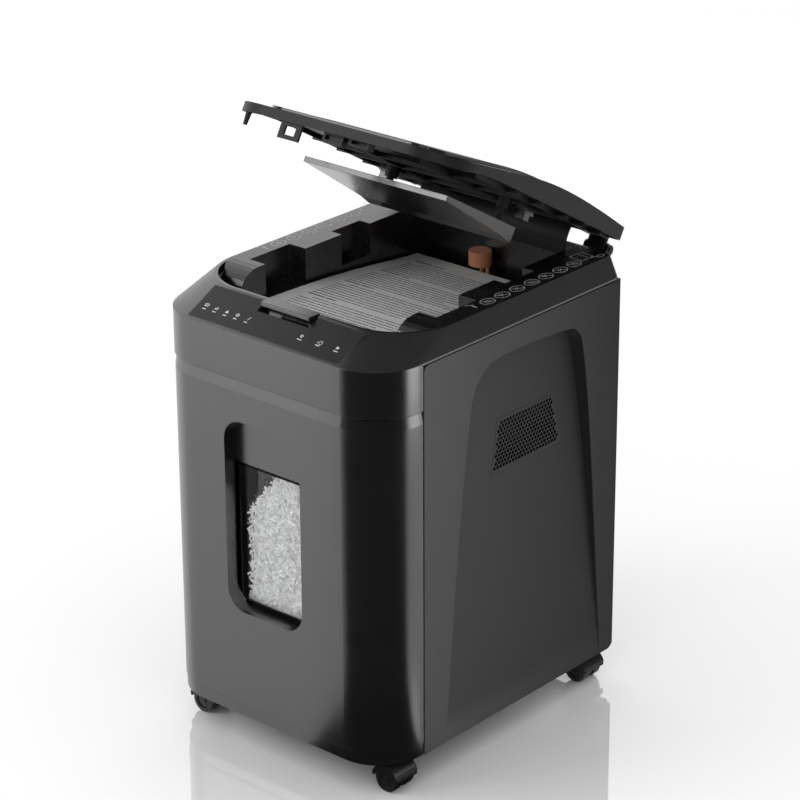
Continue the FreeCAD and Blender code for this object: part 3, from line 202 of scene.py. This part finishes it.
FINISHES = {
    HOUSING: ["base_tray", "head_housing", "latch_pad", "bin_front"],
    SHELL: ["lid_cover", "striker_loop", "lid_switch_prong"],
    SIDE: ["side_panel_left", "side_panel_right", "rear_panel"],
    GRILLE: ["vent_grille_left", "vent_grille_right"],
    FILM: ["control_panel"],
    BOARD: ["control_board"],
    TRAY: ["paper_tray", "tray_guides", "mech_deck"],
    COPPER: ["paper_stop"],
    PANE: ["bin_window"],
    PLATE: ["press_plate", "spring_brackets"],
    GLOSS: ["lid_top_panel"],
    RUBBER: ["feed_rollers"],
    MOTOR: ["motor"],
    SHADED_PAPER: ["paper_stack"],
    GLOWING_SHRED: ["shred_pile"],
    STEEL: ["panel_screws", "cutter_frame_left", "cutter_frame_right", "tie_rods",
            "gearbox_cover", "feed_shaft"],
    CUTTER: ["cutter_front", "cutter_rear", "front_gears", "rear_gears", "idler_gear",
             "motor_pinion"],
    CASTER: [name for name in nodes if name.startswith("caster_hood")],
    WHEEL: [name for name in nodes if name.startswith("caster_wheels")],
}


def paint_nodes():
    """Every CAD piece gets its finish, and the ones not listed the plain inner plastic."""
    for node in nodes.values():
        node.data.materials.clear()
        node.data.materials.append(INNER)
    for material, names in FINISHES.items():
        for name in names:
            nodes[name].data.materials[0] = material


# ------------------------------------------------------------------- building
def add(name, verts, faces, material, body):
    """A new mesh piece that rides on a body."""
    mesh = bpy.data.meshes.new(name)
    mesh.from_pydata([tuple(v) for v in verts], [], faces)
    mesh.update()
    piece = bpy.data.objects.new(name, mesh)
    bpy.context.scene.collection.objects.link(piece)
    mesh.materials.append(material)
    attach(piece, body)
    return piece


class Shapes:
    """Collects closed solids for one piece."""

    def __init__(self):
        self.verts, self.faces = [], []

    def prism(self, low, high):
        """Closed solid between two outlines with the same number of points."""
        n, at = len(low), len(self.verts)
        self.verts += list(low) + list(high)
        self.faces.append([at + i for i in reversed(range(n))])
        self.faces.append([at + n + i for i in range(n)])
        for i in range(n):
            j = (i + 1) % n
            self.faces.append([at + i, at + j, at + n + j, at + n + i])

    def ring(self, outer_low, inner_low, outer_high, inner_high):
        """Closed annular solid between four loops."""
        n, at = len(outer_low), len(self.verts)
        self.verts += list(outer_low) + list(inner_low) + list(outer_high) + list(inner_high)
        for i in range(n):
            j = (i + 1) % n
            self.faces.append([at + j, at + i, at + n + i, at + n + j])
            self.faces.append([at + 2 * n + i, at + 2 * n + j, at + 3 * n + j, at + 3 * n + i])
            self.faces.append([at + i, at + j, at + 2 * n + j, at + 2 * n + i])
            self.faces.append([at + n + j, at + n + i, at + 3 * n + i, at + 3 * n + j])


PRINT_DEPTH = 0.08      # how far printed marks stand off their face, in millimetres


class Printing:
    """Flat marks on a plane with an origin, two directions and a normal; millimetres."""

    def __init__(self, origin, across, up, normal):
        self.origin, self.across, self.up, self.normal = origin, across, up, normal
        self.shapes = Shapes()

    def at(self, u, v, h):
        return self.origin + (self.across * u + self.up * v + self.normal * h) * MM

    def area(self, points):
        self.shapes.prism([self.at(u, v, 0) for u, v in points],
                          [self.at(u, v, PRINT_DEPTH) for u, v in points])

    def bar(self, u0, v0, u1, v1, width):
        length = math.hypot(u1 - u0, v1 - v0)
        a, b = -(v1 - v0) / length * width / 2, (u1 - u0) / length * width / 2
        self.area([(u0 - a, v0 - b), (u1 - a, v1 - b), (u1 + a, v1 + b), (u0 + a, v0 + b)])

    def loop(self, u, v, ru, rv, width, sides=36, power=1.0):
        """Ring, or with a smaller power a rounded rectangle."""
        def outline(k, h):
            points = []
            for i in range(sides):
                a = 2 * math.pi * i / sides
                c, s = math.cos(a), math.sin(a)
                c, s = math.copysign(abs(c) ** power, c), math.copysign(abs(s) ** power, s)
                points.append(self.at(u + c * (ru + k), v + s * (rv + k), h))
            return points
        w = width / 2
        self.shapes.ring(outline(w, 0), outline(-w, 0),
                         outline(w, PRINT_DEPTH), outline(-w, PRINT_DEPTH))

    def piece(self, name, material, body, slot):
        return add(name, self.shapes.verts, self.shapes.faces, material, body)


X, Y, Z = Vector((1, 0, 0)), Vector((0, 1, 0)), Vector((0, 0, 1))


# ------------------------------------------------------------- control symbols
def slope_frame():
    """Front edge of the control panel's face, the way up the slope and its normal."""
    points = [v.co for v in nodes["control_panel"].data.vertices]
    front = min(points, key=lambda p: p.y)
    rear = max(points, key=lambda p: p.z)
    up = Vector((0, rear.y - front.y, rear.z - front.z)).normalized()
    return Vector((0, front.y, front.z)), up, X.cross(up)


STATUS_PLACES = (12.0, 26.5, 42.0, 57.0, 72.5)      # from the left end of the slope
STATUS_UP = 18.0                                    # above the front edge of the slope
TOUCH_PLACES = (-66.0, -40.5, -15.5)                # from the right end of the slope
TOUCH_UP = 17.5


def draw_status(sheet):
    """Bin, jam, warning, lid and standby marks, each over a short dash."""
    v = STATUS_UP
    for i, u in enumerate(STATUS_PLACES):
        sheet.bar(u - 2.4, v - 4.2, u + 2.4, v - 4.2, 1.1)
        if i == 0:
            sheet.loop(u, v + 1.6, 2.4, 1.7, 0.7, 20, 0.4)
            sheet.bar(u - 1.2, v + 1.6, u + 1.2, v + 1.6, 0.6)
        elif i == 1:
            for k in (-1.6, 0.0, 1.6):
                sheet.bar(u + k, v - 1.0, u + k, v + 2.2 + k * 0.6, 0.8)
        elif i == 2:
            sheet.area([(u - 2.3, v - 0.6), (u + 2.3, v - 0.6), (u, v + 3.2)])
        elif i == 3:
            sheet.loop(u, v + 1.2, 1.9, 1.9, 0.7, 20)
            sheet.bar(u - 1.4, v - 0.2, u + 1.4, v + 2.6, 0.6)
        else:
            sheet.bar(u, v - 1.0, u + 1.6, v + 3.0, 0.8)
            sheet.bar(u + 1.6, v + 3.0, u + 2.6, v + 3.0, 0.8)


def draw_touch(sheet):
    """Power, reverse and forward marks, each over a short dash."""
    v = TOUCH_UP
    for i, u in enumerate(TOUCH_PLACES):
        sheet.bar(u - 3.0, v - 3.2, u + 3.0, v - 3.2, 1.0)
        if i == 0:
            sheet.loop(u, v + 1.8, 1.5, 1.5, 0.8, 20)
        elif i == 1:
            sheet.loop(u + 1.5, v + 0.9, 2.2, 2.2, 0.6, 20)
            sheet.bar(u - 3.0, v + 0.2, u - 3.0, v + 1.8, 0.8)
        else:
            sheet.area([(u - 2.0, v - 0.8), (u + 2.2, v + 1.4), (u - 2.0, v + 3.6)])


def make_symbols():
    """Status marks, touch marks and the line at the right end of the control panel."""
    lo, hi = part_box("control_panel")
    origin, up, normal = slope_frame()
    left = Printing(origin + X * lo.x, X, up, normal)
    draw_status(left)
    left.piece("status_symbols", PRINT, "body", "panel_film")
    right = Printing(origin + X * hi.x, X, up, normal)
    draw_touch(right)
    right.piece("touch_symbols", PRINT, "body", "panel_film")
    crease = Printing(origin + X * (hi.x + 1.2 * MM), X, up, normal)
    crease.bar(-2.5, -3.0, 0.6, 46.0, 1.1)
    crease.piece("slope_line", TRAY, "body", "tray_plastic")


def make_pad_mark():
    """Four short strokes in the middle of the latch pad."""
    lo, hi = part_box("latch_pad")
    mark = Printing(Vector(((lo.x + hi.x) / 2, (lo.y + hi.y) / 2, hi.z)), X, Y, Z)
    for u in (-6.0, -2.0, 2.0, 6.0):
        mark.bar(u - 1.2, -1.4, u + 1.2, 1.4, 0.8)
    mark.piece("pad_mark", LINE, "latch", "housing")


# --------------------------------------------------------- rim pictograms
RINGS, RING_PITCH = 7, 24.5
RING_LINE = 0.7
RIM_INSET = 7.9         # middle of the row from the tray's outer edge
ROW_START = 120.0       # first ring from the front edge of the paper, on the right
LEFT_LEAD = 12.0        # the left row starts this much nearer the front


def draw_ring_sign(sheet, i):
    """One ring and slash, with one of three contents."""
    v = i * RING_PITCH
    sheet.loop(0, v, 7.0, 9.6, RING_LINE)
    sheet.bar(-4.4, v - 6.8, 4.4, v + 6.8, RING_LINE)
    if i % 3 == 0:
        sheet.loop(0.3, v, 2.6, 3.2, 0.5, 20, 0.5)
    elif i % 3 == 1:
        sheet.bar(-3.2, v + 3.0, 3.2, v - 3.0, 0.6)
        sheet.loop(-1.6, v - 1.8, 1.6, 2.0, 0.5, 16)
    else:
        sheet.bar(-2.8, v + 4.0, 3.4, v - 3.6, 0.6)
        sheet.bar(-4.0, v + 1.2, 2.0, v - 5.0, 0.5)


def draw_row_ends(sheet):
    """Small mark before the first ring, sheet outline and drop shape after the last."""
    sheet.bar(-9.5, -26.0, -4.0, -17.5, 0.8)
    sheet.bar(-4.0, -21.0, 3.0, -21.0, 1.6)
    end = RINGS * RING_PITCH
    sheet.loop(-8.0, end - 2.0, 9.0, 10.0, RING_LINE, 28, 0.25)
    sheet.bar(-15.0, end + 1.0, -1.5, end + 1.0, 0.6)
    sheet.loop(6.0, end + 14.0, 3.0, 5.5, RING_LINE, 20)
    sheet.bar(1.5, end + 2.0, 4.6, end + 10.0, RING_LINE)


def make_rim_pictograms():
    """Ring-and-slash signs for what must not be fed in, along both flat rims."""
    lo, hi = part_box("tray_guides")
    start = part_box("paper_stack")[0].y + ROW_START * MM
    # Painted light: the two rows are one print, drawn grey on the right rim and lighter on the
    # left rim, which is brighter.
    rows = (("right", hi.x - RIM_INSET * MM, start, LINE),
            ("left", -(hi.x - RIM_INSET * MM), start - LEFT_LEAD * MM, PRINT))
    for name, x, y, material in rows:
        sheet = Printing(Vector((x, y, hi.z)), X, Y, Z)
        for i in range(RINGS):
            draw_ring_sign(sheet, i)
        draw_row_ends(sheet)
        sheet.piece("rim_pictograms_" + name, material, "body", "tray_plastic")


# ------------------------------------------------------------------ paper
LAYERS = 16             # sheets shown, each standing for several
LAYER_SHARE = 0.82      # of a layer's height is paper, the rest is gap
PAPER_BEND = 46 * MM    # half of the stretch over which the sheets' bend is averaged
PRINT_LIFT = 0.02 * MM  # print above the top sheet
PRINT_SINK = 0.9 * MM   # and down into it
LINE_PITCH, HEADING_PITCH = 6.4 * MM, 8.6 * MM
BLOCK_ROWS = 9          # a heading, an indented line and plain lines


def stack_profile():
    """Upper and lower (y, z) lines of the stack, front to rear, from its node."""
    verts = nodes["paper_stack"].data.vertices
    points = sorted({(round(v.co.y, 4), round(v.co.z, 5)) for v in verts})
    ends = []
    for end in (points[0][0], points[-1][0]):
        heights = [z for y, z in points if y == end]
        ends.append((end, min(heights) + 0.7 * (max(heights) - min(heights))))
    top = [p for p in points if p[1] > height_at(ends, p[0])]
    return top, [p for p in points if p not in top]


def height_at(profile, y):
    """Height of a front-to-rear line at y, held level past its ends."""
    y = min(max(y, profile[0][0]), profile[-1][0])
    for (a, za), (b, zb) in zip(profile, profile[1:]):
        if y <= b:
            return za + (zb - za) * (y - a) / (b - a)
    return profile[-1][1]


def smooth_height(profile, y):
    """Height averaged over a stretch of the profile, so that the sheets bend without a crease."""
    samples = [height_at(profile, y + PAPER_BEND * k / 4) for k in range(-4, 5)]
    return sum(samples) / len(samples)


def make_paper():
    """The stack as separate curved layers, lying slightly out of line."""
    rnd = random.Random(11)
    top, low = stack_profile()
    lo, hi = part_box("paper_stack")
    shapes = Shapes()
    rows = 24
    for k in range(LAYERS):
        dx = rnd.uniform(-0.9, 0.9) * MM
        dy0, dy1 = rnd.uniform(0, 2.0) * MM, rnd.uniform(0, 2.5) * MM
        f0, f1 = k / LAYERS, (k + LAYER_SHARE) / LAYERS
        x0, x1 = lo.x + 1.0 * MM + dx, hi.x - 1.0 * MM + dx
        y0, y1 = lo.y + dy0, hi.y - dy1
        lower, upper = [], []
        for i in range(rows + 1):
            y = y0 + (y1 - y0) * i / rows
            base, face = height_at(low, y), smooth_height(top, y)
            lower.append((y, base + (face - base) * f0))
            upper.append((y, base + (face - base) * f1))
        outline = lower + list(reversed(upper))
        shapes.prism([Vector((x0, y, z)) for y, z in outline],
                     [Vector((x1, y, z)) for y, z in outline])
    stack = add("paper_sheets", shapes.verts, shapes.faces, SHADED_PAPER, "body")
    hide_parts("paper_stack")
    make_print(top, lo, hi)


def make_print(top, lo, hi):
    """Plain grey bars that stand for lines of print on the top sheet."""
    rnd = random.Random(5)
    shapes = Shapes()

    def bar(x0, x1, y, width):
        y0, y1 = y - width / 2, y + width / 2
        z0, z1 = smooth_height(top, y0) - PRINT_SINK, smooth_height(top, y1) - PRINT_SINK
        flat = [Vector(p) for p in ((x0, y0, z0), (x1, y0, z0), (x1, y1, z1), (x0, y1, z1))]
        shapes.prism(flat, [p + Z * (PRINT_SINK + PRINT_LIFT) for p in flat])

    left, right = lo.x + 20 * MM, hi.x - 22 * MM
    y = hi.y - 26 * MM
    row = 0
    while y > lo.y + 16 * MM:
        heading, indented = row % BLOCK_ROWS == 0, row % BLOCK_ROWS == 1
        width = (2.2 if heading else 1.3) * MM
        x = left + (14 * MM if indented else 0)
        end = left + 42 * MM if heading else right - rnd.choice((0, 0, 2, 6, 40)) * MM
        while x < end:
            word = rnd.uniform(9, 34) * MM
            bar(x, min(x + word, end), y, width)
            x += word + 1.8 * MM
        y -= HEADING_PITCH if heading else LINE_PITCH
        row += 1
    add("sheet_print", shapes.verts, shapes.faces, INK, "body")


# ------------------------------------------------------------------ shreds
STRIP_LENGTH, STRIP_WIDTH, STRIP_THICK = 6.6 * MM, 2.3 * MM, 0.14 * MM
WINDOW_STRIPS, SHADE_STRIPS, CREST_STRIPS = 5200, 420, 900
HEAP_ROWS, HEAP_COLUMNS = 34, 44
HEAP_INSET = 7.0 * MM           # face of the heap behind the front of its space
HEAP_SIDE, HEAP_BACK = 6 * MM, 8 * MM
HEAP_FALL, HEAP_FALL_MAX = 2.2, 90 * MM     # how it drops away left of its edge
LEAN_HEIGHT, LEAN = 62 * MM, 46 * MM        # the edge leans over this much at the top
BELLY_START, BELLY_HEIGHT, BELLY = 120 * MM, 60 * MM, 4 * MM


def strip(shapes, rnd, centre):
    """One curled cross-cut particle, closed, with a bend in the middle."""
    length, width = STRIP_LENGTH * rnd.uniform(0.6, 1.3), STRIP_WIDTH * rnd.uniform(0.8, 1.1)
    turn = Matrix.Rotation(rnd.uniform(0, math.tau), 3, "Y")
    tilt = (Matrix.Rotation(rnd.uniform(-0.9, 0.9), 3, "X")
            @ Matrix.Rotation(rnd.uniform(-0.9, 0.9), 3, "Z"))
    curl = rnd.uniform(-0.35, 0.35) * length
    stations = []
    for s in (-0.5, 0.0, 0.5):
        lift = curl * (0.25 - s * s)
        for w, t in ((-0.5, -0.5), (0.5, -0.5), (0.5, 0.5), (-0.5, 0.5)):
            stations.append(Vector((s * length, lift + t * STRIP_THICK, w * width)))
    at = len(shapes.verts)
    shapes.verts += [centre + tilt @ (turn @ p) for p in stations]
    shapes.faces.append([at, at + 1, at + 2, at + 3])
    shapes.faces.append([at + 11, at + 10, at + 9, at + 8])
    for k in (0, 4):
        for i in range(4):
            j = (i + 1) % 4
            shapes.faces.append([at + k + j, at + k + i, at + k + 4 + i, at + k + 4 + j])


def heap_edge(pane_lo, pane_hi, z):
    """Left edge of the bright heap: leaning out at the top, slightly bellied below."""
    lean = max(0.0, (z - (pane_hi.z - LEAN_HEIGHT)) / LEAN_HEIGHT)
    belly = max(0.0, (pane_hi.z - BELLY_START - z) / BELLY_HEIGHT)
    return pane_lo.x + 10 * MM + lean * LEAN - belly * BELLY


def make_heap(rnd, edge, lo, hi, foot, crest, back):
    """Body of the heap: an uneven face towards the window, closed by a flat back."""
    shapes, grid = Shapes(), {}
    for i in range(HEAP_ROWS + 1):
        z = foot + (crest - foot) * i / HEAP_ROWS
        for k in range(HEAP_COLUMNS + 1):
            x = lo.x + HEAP_SIDE + (hi.x - lo.x - 2 * HEAP_SIDE) * k / HEAP_COLUMNS
            fall = max(0.0, edge(z) + 2 * MM - x)
            uneven = rnd.uniform(0, 2.4) * MM
            y = lo.y + HEAP_INSET + uneven + min(fall * HEAP_FALL, HEAP_FALL_MAX)
            grid[i, k] = len(shapes.verts)
            shapes.verts.append(Vector((x, y, z)))
    for i in range(HEAP_ROWS):
        for k in range(HEAP_COLUMNS):
            shapes.faces.append([grid[i, k], grid[i, k + 1], grid[i + 1, k + 1], grid[i + 1, k]])
    border = [(0, k) for k in range(HEAP_COLUMNS)]
    border += [(i, HEAP_COLUMNS) for i in range(HEAP_ROWS)]
    border += [(HEAP_ROWS, k) for k in range(HEAP_COLUMNS, 0, -1)]
    border += [(i, 0) for i in range(HEAP_ROWS, 0, -1)]
    rear = {}
    for p in border:
        rear[p] = len(shapes.verts)
        face = shapes.verts[grid[p]]
        shapes.verts.append(Vector((face.x, back, face.z)))
    for a, b in zip(border, border[1:] + border[:1]):
        shapes.faces.append([grid[b], grid[a], rear[a], rear[b]])
    shapes.faces.append([rear[p] for p in border][::-1])
    heap = add("shred_heap", shapes.verts, shapes.faces, GLOWING_SHRED, "bin")
    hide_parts("shred_pile")


def make_shreds():
    """Heap with loose particles where the window shows it, and over its top."""
    rnd = random.Random(3)
    lo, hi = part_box("shred_pile")
    pane_lo, pane_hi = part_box("bin_window")
    foot, crest, back = lo.z + 4 * MM, pane_hi.z - 2 * MM, hi.y - HEAP_BACK

    def edge(z):
        return heap_edge(pane_lo, pane_hi, z)

    make_heap(rnd, edge, lo, hi, foot, crest, back)
    bright, shade_particles = Shapes(), Shapes()
    for _ in range(WINDOW_STRIPS):
        z = rnd.uniform(pane_lo.z - 6 * MM, pane_hi.z - 4 * MM)
        x = rnd.uniform(edge(z), min(pane_hi.x + 26 * MM, hi.x - 12 * MM))
        y = lo.y + rnd.uniform(4.2, 10.0) * MM
        strip(bright, rnd, Vector((x, y, z)))
    # painted shade: grey particles left of the heap's edge stand for shreds in shadow
    for _ in range(SHADE_STRIPS):
        z = rnd.uniform(pane_lo.z, pane_hi.z - 6 * MM)
        x = edge(z) - abs(rnd.gauss(0, 7)) * MM
        y = lo.y + 6 * MM + (edge(z) - x) * 1.2 + rnd.uniform(0, 5) * MM
        strip(shade_particles, rnd, Vector((max(x, lo.x + 8 * MM), y, z)))
    for _ in range(CREST_STRIPS):
        x = rnd.uniform(lo.x + 10 * MM, hi.x - 10 * MM)
        y = rnd.uniform(lo.y + 100 * MM, back)
        strip(bright, rnd, Vector((x, y, crest + rnd.uniform(-1, 1.0) * MM)))
    add("shreds_at_window", bright.verts, bright.faces, GLOWING_SHRED, "bin")
    add("shreds_in_shade", shade_particles.verts, shade_particles.faces, SHADED_SHRED, "bin")


# ---------------------------------------------------------------------- stage
FLOOR_REACH = 30.0
FLOOR_GLOSS, FLOOR_ROUGH = 0.30, 0.04
FLAG_LIFT = 0.002       # cards that lie on the floor, above it


def stage_mesh(name, verts, faces):
    mesh = bpy.data.meshes.new(name)
    mesh.from_pydata(verts, [], faces)
    piece = bpy.data.objects.new(name, mesh)
    bpy.context.scene.collection.objects.link(piece)
    return piece


def two_shaders(name, first, second):
    """Material that mixes two shader nodes; returns it, both nodes and the mix."""
    material = bpy.data.materials.new(name)
    material.use_nodes = True
    tree = material.node_tree
    tree.nodes.remove(tree.nodes["Principled BSDF"])
    shaders = [tree.nodes.new(first), tree.nodes.new(second)]
    mix = tree.nodes.new("ShaderNodeMixShader")
    for slot, shader in zip((1, 2), shaders):
        tree.links.new(shader.outputs[0], mix.inputs[slot])
    tree.links.new(mix.outputs[0], tree.nodes["Material Output"].inputs["Surface"])
    return material, shaders, mix


def make_floor():
    """White ground with a faint mirror image of the object."""
    r = FLOOR_REACH
    floor = stage_mesh("floor", [(-r, -r, 0), (r, -r, 0), (r, r, 0), (-r, r, 0)], [(0, 1, 2, 3)])
    material, (matt, gloss), mix = two_shaders(
        "floor_white", "ShaderNodeBsdfDiffuse", "ShaderNodeBsdfGlossy")
    matt.inputs["Color"].default_value = (0.92, 0.92, 0.92, 1)
    gloss.inputs["Color"].default_value = (1, 1, 1, 1)
    gloss.inputs["Roughness"].default_value = FLOOR_ROUGH
    mix.inputs[0].default_value = FLOOR_GLOSS
    floor.data.materials.append(material)


def make_card(name, verts, faces, level):
    """Card that shows only in gloss, and only from the side its faces look to."""
    card = stage_mesh(name, verts, faces)
    material, (tone, _), mix = two_shaders(
        name + "_tone", "ShaderNodeEmission", "ShaderNodeBsdfTransparent")
    tone.inputs["Color"].default_value = (1, 1, 1, 1)
    tone.inputs["Strength"].default_value = level
    side = material.node_tree.nodes.new("ShaderNodeNewGeometry")
    material.node_tree.links.new(side.outputs["Backfacing"], mix.inputs[0])
    card.data.materials.append(material)
    for kind in ("camera", "diffuse", "shadow", "transmission"):
        setattr(card, "visible_" + kind, False)


def arc_points(middle, radius, arc, steps):
    """Points (x, y) around a middle, at angles counted from the front towards the right."""
    turns = [math.radians(arc[0] + (arc[1] - arc[0]) * i / steps) for i in range(steps + 1)]
    return [(middle[0] + radius * math.sin(a), middle[1] - radius * math.cos(a)) for a in turns]


def make_screen(name, middle, radius, arc, heights, level):
    """Upright curved card that faces inwards."""
    steps = 24
    points = arc_points(middle, radius, arc, steps)
    verts = [(x, y, z) for x, y in points for z in heights]
    faces = [(k, k + 1, k + 3, k + 2) for k in range(0, 2 * steps, 2)]
    make_card(name, verts, faces, level)


def make_floor_flag(middle, radii, arc, level):
    """Sector lying on the floor."""
    steps = 16
    inner, outer = ([(x, y, FLAG_LIFT) for x, y in arc_points(middle, r, arc, steps)]
                    for r in radii)
    faces = [(i, i + 1, steps + 2 + i, steps + 1 + i) for i in range(steps)]
    make_card("floor_flag", outer + inner, faces, level)


def make_flat_card(name, x, y, z, level, down=False):
    """Level rectangle between two x and two y."""
    corners = [(x[0], y[0], z), (x[1], y[0], z), (x[1], y[1], z), (x[0], y[1], z)]
    if down:
        corners = [corners[i] for i in (0, 3, 2, 1)]
    make_card(name, corners, [(0, 1, 2, 3)], level)


def make_cards():
    """Tones that the gloss of the plastics picks up around the object."""
    corner = (0.08, -0.08)      # axis of the body's rounded front corner on the right
    dark_arc = (-20.0, 86.0)
    make_screen("corner_flag", corner, 0.36, dark_arc, (FLAG_LIFT, 0.60), 0.012)
    make_floor_flag(corner, (0.05, 0.36), dark_arc, 0.0)
    make_screen("seam_strip", corner, 0.62, (98.0, 124.0), (0.20, 0.42), 2.6)
    make_screen("front_shade", (0.0, 0.0), 3.0, (-75.0, 20.0), (0.55, 3.2), 0.12)
    make_screen("right_shade", (0.0, 0.0), 2.6, (60.0, 190.0), (0.06, 3.2), 0.12)
    make_flat_card("ceiling_shade", (-1.75, 3.2), (-2.6, 2.6), 2.6, 0.10, down=True)
    make_flat_card("rear_left_shade", (-2.8, -0.5), (0.9, 3.2), 0.003, 0.25)


def make_world():
    """Even white surround."""
    world = bpy.data.worlds.new("studio")
    bpy.context.scene.world = world
    world.use_nodes = True
    background = world.node_tree.nodes["Background"]
    background.inputs["Color"].default_value = (1, 1, 1, 1)
    background.inputs["Strength"].default_value = 1.04


def make_key_light():
    """Large square light in front, on the left, aimed at the middle of the body."""
    light = bpy.data.lights.new("key_left", "AREA")
    light.shape = "RECTANGLE"
    light.size, light.size_y, light.energy = 1.4, 1.4, 25
    place, aim = Vector((-1.8, -2.4, 1.9)), Vector((0, 0, 0.3))
    box = bpy.data.objects.new("key_left", light)
    box.location = place
    box.rotation_euler = (aim - place).to_track_quat("-Z", "Y").to_euler()
    bpy.context.scene.collection.objects.link(box)


CAMERA_PLACE = Vector((2.06198, -2.35127, 1.68753))
CAMERA_YAW, CAMERA_PITCH, CAMERA_ROLL = 41.174, 23.042, -0.3111
CAMERA_LENS = 138.96


def make_camera():
    """Camera from its place and its yaw, pitch and roll in degrees."""
    yaw, pitch, roll = (math.radians(a) for a in (CAMERA_YAW, CAMERA_PITCH, CAMERA_ROLL))
    ahead = Vector((-math.sin(yaw) * math.cos(pitch), math.cos(yaw) * math.cos(pitch),
                    -math.sin(pitch)))
    right = Vector((math.cos(yaw), math.sin(yaw), 0))
    up = right.cross(ahead)
    right, up = (math.cos(roll) * right + math.sin(roll) * up,
                 math.cos(roll) * up - math.sin(roll) * right)
    data = bpy.data.cameras.new("camera")
    data.lens, data.sensor_width, data.clip_end = CAMERA_LENS, 36.0, 100.0
    camera = bpy.data.objects.new("camera", data)
    turn = Matrix((right, up, -ahead)).transposed().to_4x4()
    camera.matrix_world = Matrix.Translation(CAMERA_PLACE) @ turn
    bpy.context.scene.collection.objects.link(camera)
    bpy.context.scene.camera = camera


make_camera()
make_world()
make_floor()
make_cards()
make_key_light()
bpy.context.scene.view_settings.view_transform = "Standard"
paint_nodes()
make_symbols()
make_pad_mark()
make_rim_pictograms()
make_paper()
make_shreds()
